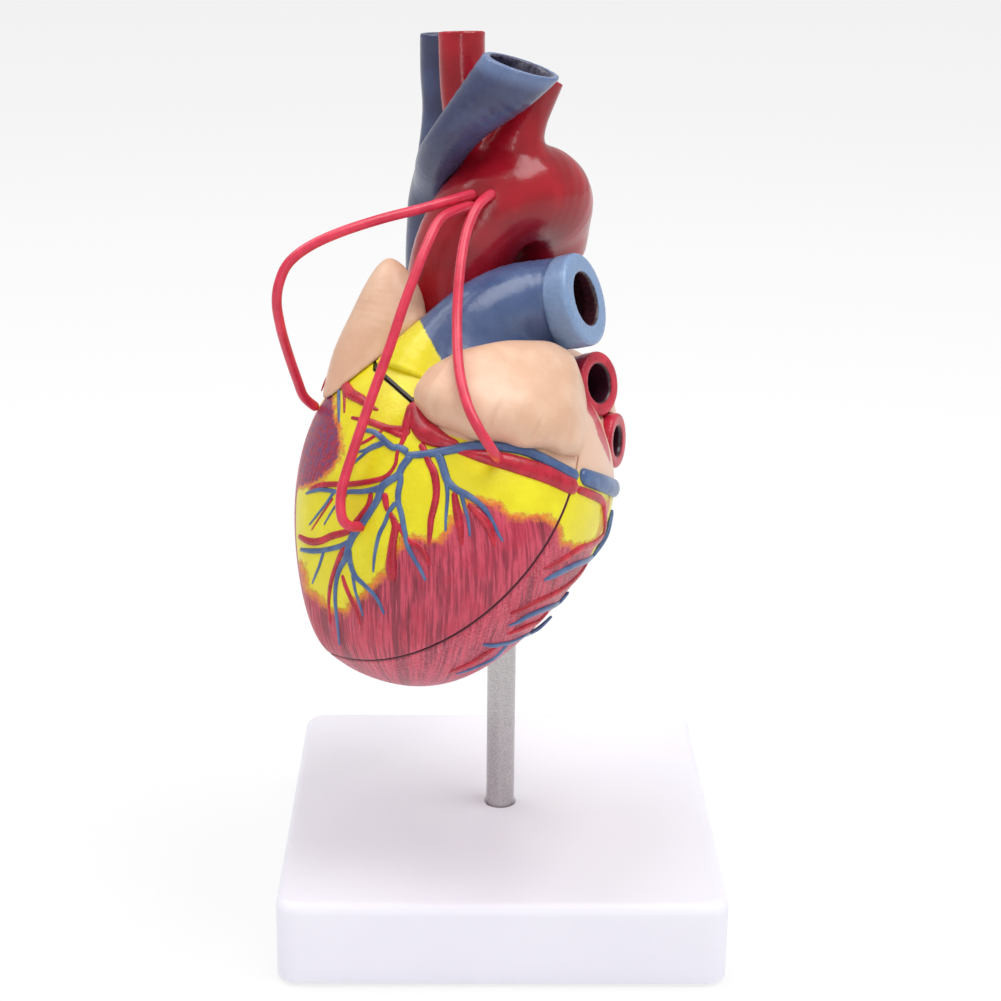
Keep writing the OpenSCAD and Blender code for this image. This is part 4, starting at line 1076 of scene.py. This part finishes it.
front_wall()
back_wall()
for name, routes, finish, slot, body, rise, stouter in (
    ("front_veins", FRONT_VEINS, VEIN_PAINT, "vein_blue", "front", 0.7, 1.22),
    ("front_arteries", FRONT_ARTERIES, ARTERY_PAINT, "artery_red", "front", 0.55, 1.25),
    ("back_veins", BACK_VEINS, VEIN_PAINT, "vein_blue", "heart", 0.65, 1.05),
    ("back_arteries", BACK_ARTERIES, ARTERY_PAINT, "artery_red", "heart", 0.65, 1.1),
):
    set_down(new_object(name, *in_relief(routes, rise, stouter)), finish, body, slot)


# ---- great vessels ----------------------------------------------------------------
def above_plate(p):
    """Distance below the top of the valve plate."""
    return PLATE_TOP - in_heart(p)[..., 1]


def lumen(p, stations, wall, start=True):
    """Distance outside a vessel's lumen, which is less wide than the vessel by the wall and runs on past
    its ends."""
    return tube(p, carried_on(grown(stations, -wall), BORE_REACH, start=start))


def aorta_bore(p):
    """The lumens of the aorta and its three branches."""
    inner = lumen(p, AORTA, 3)
    for branch, wall in ((HEAD_ARTERY, 2), (CAROTID, 1.6), (SUBCLAVIAN, 1.6)):
        inner = joined(inner, lumen(p, branch, wall, start=False), 1.5)
    return inner


def aorta_field(p):
    """The aorta and its three branches, joined with fillets, less their lumens."""
    outer = open_tube(p, AORTA)
    for branch in (HEAD_ARTERY, CAROTID, SUBCLAVIAN):
        outer = joined(outer, open_tube(p, branch), 3.0)
    return common(common(outer, -aorta_bore(p), 0.8), above_plate(p), 0.4)


def trunk_bore(p):
    """The lumens of the trunk and its right branch."""
    return joined(lumen(p, TRUNK_LUMEN, 0), lumen(p, RIGHT_BRANCH, 2.5, start=False), 1.5)


def past_collar(p):
    """Distance past the step at which the trunk's thicker end begins."""
    return (p - COLLAR_AT) @ unit(COLLAR_WAY)


def trunk_field(p):
    """The trunk with its collar, its right branch and the swell of its foot into the wall, less their
    lumens and the aorta's room."""
    trunk = open_tube(p, TRUNK, 1.6)
    collar = common(open_tube(p, grown(TRUNK, 0.45), 1.6), -past_collar(p), 0.5)
    outer = np.minimum(joined(trunk, open_tube(p, RIGHT_BRANCH), 3.0), collar)
    wall = egg_field(p)
    swell = np.maximum.reduce([
        joined(tube(p, TRUNK), wall + 0.1, 8.0), tube(p, TRUNK) - 7.5, -1.5 - wall, wall - 7,
        0.6 - tube(p, EAR_PATH), 0.35 - inside_by(in_heart(p)[:, :2], CROWN)])
    field = common(np.minimum(outer, swell), -trunk_bore(p), 1.2)
    field = common(field, SEAT_GAP - tube(p, AORTA), 0.3)
    return common(field, above_plate(p), 0.4)


def cava_bore(p):
    """The lumens of the upper cava and the arm's vein."""
    return joined(lumen(p, CAVA, 2), lumen(p, ARM_VEIN, 2, start=False), 1.5)


def cava_field(p):
    """The upper cava with the left arm's vein, cut slantwise, less the lumens and what the vessels run
    past."""
    at, normal = ARM_CUT
    arm = common(tube(p, ARM_VEIN), (p - at) @ normal, 0.6)
    outer = joined(open_tube(p, CAVA), arm, 3.0)
    field = common(outer, -cava_bore(p), 0.8)
    for other in (AORTA, HEAD_ARTERY, RIGHT_BRANCH):
        field = common(field, SEAT_GAP - tube(p, other), 0.3)
    foot, down = CAVA_FOOT
    return common(field, (p - foot) @ unit(down), 0.4)


def bounds_of(*paths, margin=4.0):
    """Box round the stations of vessels, wider by the stoutest radius and a margin."""
    q = np.vstack([np.asarray(p, float) for p in paths])
    r = q[:, 3:].max() + margin
    return q[:, :3].min(0) - r, q[:, :3].max(0) + r


def casting(name, field, bore, paths, cell):
    """Skin of a field round the paths, in cubes of the cell's size, with the mask of its bore."""
    obj = new_object(name, *closed_surface(field, *bounds_of(*paths), cell))
    # The bore mask places the dark lumen colour, which is partly painted shade
    paint_mask(obj, "bore", 1 - bore(places(obj)))
    return obj


aorta = casting("aorta_casting", aorta_field, aorta_bore, (AORTA, HEAD_ARTERY), 0.75)
set_down(aorta, AORTA_PAINT, "heart", "artery_red", "aorta")
trunk = casting("trunk_casting", trunk_field, trunk_bore, (TRUNK, RIGHT_BRANCH), 0.7)
paint_mask(trunk, "light", past_collar(places(trunk)) + 0.5)
paint_mask(trunk, "foot", (places(trunk) - EYE) @ unit(np.cross(*sight(CONUS_LINE))))
set_down(trunk, TRUNK_PAINT, "heart", "vein_blue", "pulmonary_trunk")
cava = casting("cava_casting", cava_field, cava_bore, (CAVA, ARM_VEIN), 0.7)
paint_mask(cava, "light", 1 + ((places(cava) - ARM_CUT[0]) @ ARM_CUT[1]) / 7)
set_down(cava, CAVA_PAINT, "heart", "vein_blue", "superior_vena_cava")


def short_veins(name, paths, wall, node):
    """Two short flared veins with round lips, cut off square where they start."""
    def bores(p):
        return np.minimum(*[lumen(p, q, wall) for q in paths])

    def one(p, q):
        start = (p - np.asarray(q[0][:3])) @ unit(np.asarray(q[1][:3], float) - q[0][:3])
        return common(common(open_tube(p, q, 1.2), -lumen(p, q, wall), 1.2), -start, 0.4)

    def field(p):
        return np.minimum(*[one(p, q) for q in paths])

    return set_down(casting(name, field, bores, paths, 0.6), RING_PAINT, "heart", "artery_red", node)


short_veins("left_lung_veins", LEFT_VEINS, 3.6, "left_pulmonary_veins")
short_veins("right_lung_veins", RIGHT_VEINS, 2, "right_pulmonary_veins")


# ---- auricles ---------------------------------------------------------------------
LOBE_LOW, LOBE_HIGH = (0.69, 0.645, 0.505, 0.565), (0.93, 0.935, 0.935, 0.67)


def left_auricle():
    """Lobe on the front wall: u runs along it and v from its scalloped lower edge to its upper edge. Its
    share of the length runs between two cubics, its height is a rounded box in v times a swell in u, with
    short creases drawn in from the lower edge."""
    cols, rows = 200, 90
    u, v = np.meshgrid(np.linspace(0, 1, cols), (1 - np.cos(np.linspace(0, np.pi, rows))) / 2, indexing="ij")
    wave = np.cos(8 * np.pi * u)
    low, high = cubic(LOBE_LOW, u) + 0.004 * wave, cubic(LOBE_HIGH, u)
    share = low + (high - low) * v
    angle = np.radians(3 + 61 * u)
    swell = 0.3 + 0.7 * np.sin(np.pi / 2 * np.minimum(2.2 * u, 1))
    ends = np.where(u > 0.9, 1 - 4 * (u - 0.9), 1)
    lift = SEAT_GAP + 0.8 + 8 * np.sqrt(np.maximum(1 - (2 * v - 1) ** 4, 0)) * swell * ends * (1 + 0.02 * wave)
    for at, depth, reach in ((0.86, 1.1, 0.14), (0.585, 1.0, 0.16), (0.37, 0.9, 0.14)):
        crease = np.exp(-((u - at) / 0.012) ** 2) * np.exp(-(v / reach) ** 2)
        lift -= depth * crease * np.sin(np.pi * np.clip(v * 6, 0, 0.5))
    base = egg(share, angle)
    normal = egg_normal(base)
    top = base + lift[..., None] * normal
    foot = base + 0.1 * normal
    verts = np.concatenate([foot.reshape(-1, 3), top.reshape(-1, 3)])
    n = cols * rows
    edge = np.concatenate([np.arange(rows), rows * np.arange(1, cols) + rows - 1,
                           n - 1 - np.arange(1, rows), rows * np.arange(cols - 2, 0, -1)])
    k = np.roll(edge, -1)
    faces = [grid_faces(cols, rows, ring=False)[:, ::-1], grid_faces(cols, rows, ring=False, start=n),
             np.stack([edge, k, k + n, edge + n], 1)[:, ::-1]]
    obj = new_object("left_auricle_lobe", verts, faces)
    return set_down(obj, PEACH_PAINT, "front", "atrium_peach", "left_auricle", sharp=60)


def ear_field(p):
    """The right auricle: a tapering lobe with small bulges on its inner edge, laid against the wall, the
    trunk and the aorta."""
    field = tube(p, EAR_PATH)
    for at, r in (((-24.5, -9, 166), 4.5), ((-24, -11, 161), 4.5), ((-27, -14, 156), 5)):
        field = joined(field, np.linalg.norm(p - np.array(at), axis=1) - r, 3.0)
    field = common(field, SEAT_GAP - egg_field(p), 1.0)
    for other in (TRUNK, AORTA):
        field = common(field, 0.6 - tube(p, other), 1.0)
    return field


left_auricle()
ear = new_object("right_auricle_lobe", *closed_surface(ear_field, *bounds_of(EAR_PATH), 0.55))
set_down(ear, PEACH_PAINT, "front", "atrium_peach", "right_auricle")

for name, route in GRAFTS.items():
    q = curve(route, 10)
    direction = unit(np.gradient(q, axis=0))
    side = unit(np.cross(direction, [0.5, -0.7, -0.5]))
    radius = rounded_ends(q, np.full(len(q), GRAFT_RADIUS))
    obj = new_object(name + "_tube", *swept(q, side, np.cross(side, direction), radius, radius, 20))
    set_down(obj, GRAFT_PAINT, "front", "graft_pink", name)

# Nodes that are shown as the solids give them, with a finish of this script
for finish, names in (
    (PLASTIC, ["plinth"]),
    (RUBBER, ["plinth_feet"]),
    (STEEL, ["support_rod", "rod_sleeve", "locating_pins"]),
    (INNER, ["septum", "papillary_muscles"]),
    (PEACH_PAINT, ["valve_plate"]),
    (LEAFLET, ["tricuspid_valve", "mitral_valve", "aortic_valve", "pulmonary_valve"]),
    (CORD, ["tendinous_cords"]),
    (CAVA_PAINT, ["inferior_vena_cava"]),
):
    for name in names:
        nodes[name].data.materials.clear()
        nodes[name].data.materials.append(finish)


# ---- studio -----------------------------------------------------------------------
# Half the floor's width in millimetres, the world's strength, and the place that the lamps look at, in metres
FLOOR_HALF, WORLD_LIGHT, LAMPS_LOOK_AT = 3000, 0.56, (-0.01, -0.01, 0.14)


def studio():
    """Pale floor that the camera sees as white, an even pale world, and soft lamps."""
    f = Finish("studio_floor")
    f.done(paint(244, 244, 246), 0.6)
    camera_ray, glossy_ray, clear_ray = (
        f.node("ShaderNodeLightPath", output=f"Is {ray} Ray") for ray in ("Camera", "Glossy", "Transmission"))
    rays = camera_ray.most(glossy_ray).most(clear_ray)
    white = f.node("ShaderNodeEmission", (), {"Color": (1, 1, 1, 1), "Strength": 1.0})
    mixed = f.node("ShaderNodeMixShader", (), {0: rays * 0.75, 1: Link(f, f.shader.outputs[0]), 2: white})
    f.tree.links.new(mixed.socket, f.tree.nodes["Material Output"].inputs["Surface"])
    n = FLOOR_HALF
    corners = np.array([[-n, -n, 0], [n, -n, 0], [n, n, 0], [-n, n, 0]])
    floor = new_object("floor", corners, [np.array([[0, 1, 2, 3]])])
    floor.data.materials.append(f.material)
    world = bpy.data.worlds.new("studio_world")
    scene.world = world
    world.use_nodes = True
    world.node_tree.nodes["Background"].inputs["Color"].default_value = (1, 1, 1, 1)
    world.node_tree.nodes["Background"].inputs["Strength"].default_value = WORLD_LIGHT
    for name, at, size, power in (
        ("key", (0.45, -0.15, 1.3), (0.8, 0.8), 9.0),
        ("strip", (-0.05, -1.1, 0.5), (0.08, 0.9), 1.4),
        ("fill", (-0.45, 0.2, 1.25), (0.8, 0.8), 6.0),
    ):
        lamp = bpy.data.lights.new(name, "AREA")
        lamp.shape = "RECTANGLE"
        lamp.size, lamp.size_y, lamp.energy = *size, power
        obj = bpy.data.objects.new(name, lamp)
        scene.collection.objects.link(obj)
        look = unit(np.array(LAMPS_LOOK_AT) - np.array(at))
        side = unit(np.cross(look, [0, 0, 1]))
        top = np.cross(side, look)
        m = np.eye(4)
        m[:3, 0], m[:3, 1], m[:3, 2], m[:3, 3] = side, top, -look, at
        obj.matrix_world = Matrix(m)
    lens = bpy.data.cameras.new("photo_camera")
    lens.lens, lens.sensor_width, lens.clip_start = LENS_MM, FILM_MM, 0.01
    camera = bpy.data.objects.new("photo_camera", lens)
    scene.collection.objects.link(camera)
    m = np.eye(4)
    m[:3, 0], m[:3, 1], m[:3, 2], m[:3, 3] = RIGHTWARD, UP, -AHEAD, EYE * 0.001
    camera.matrix_world = Matrix(m)
    scene.camera = camera
    scene.view_settings.view_transform = "Standard"


studio()
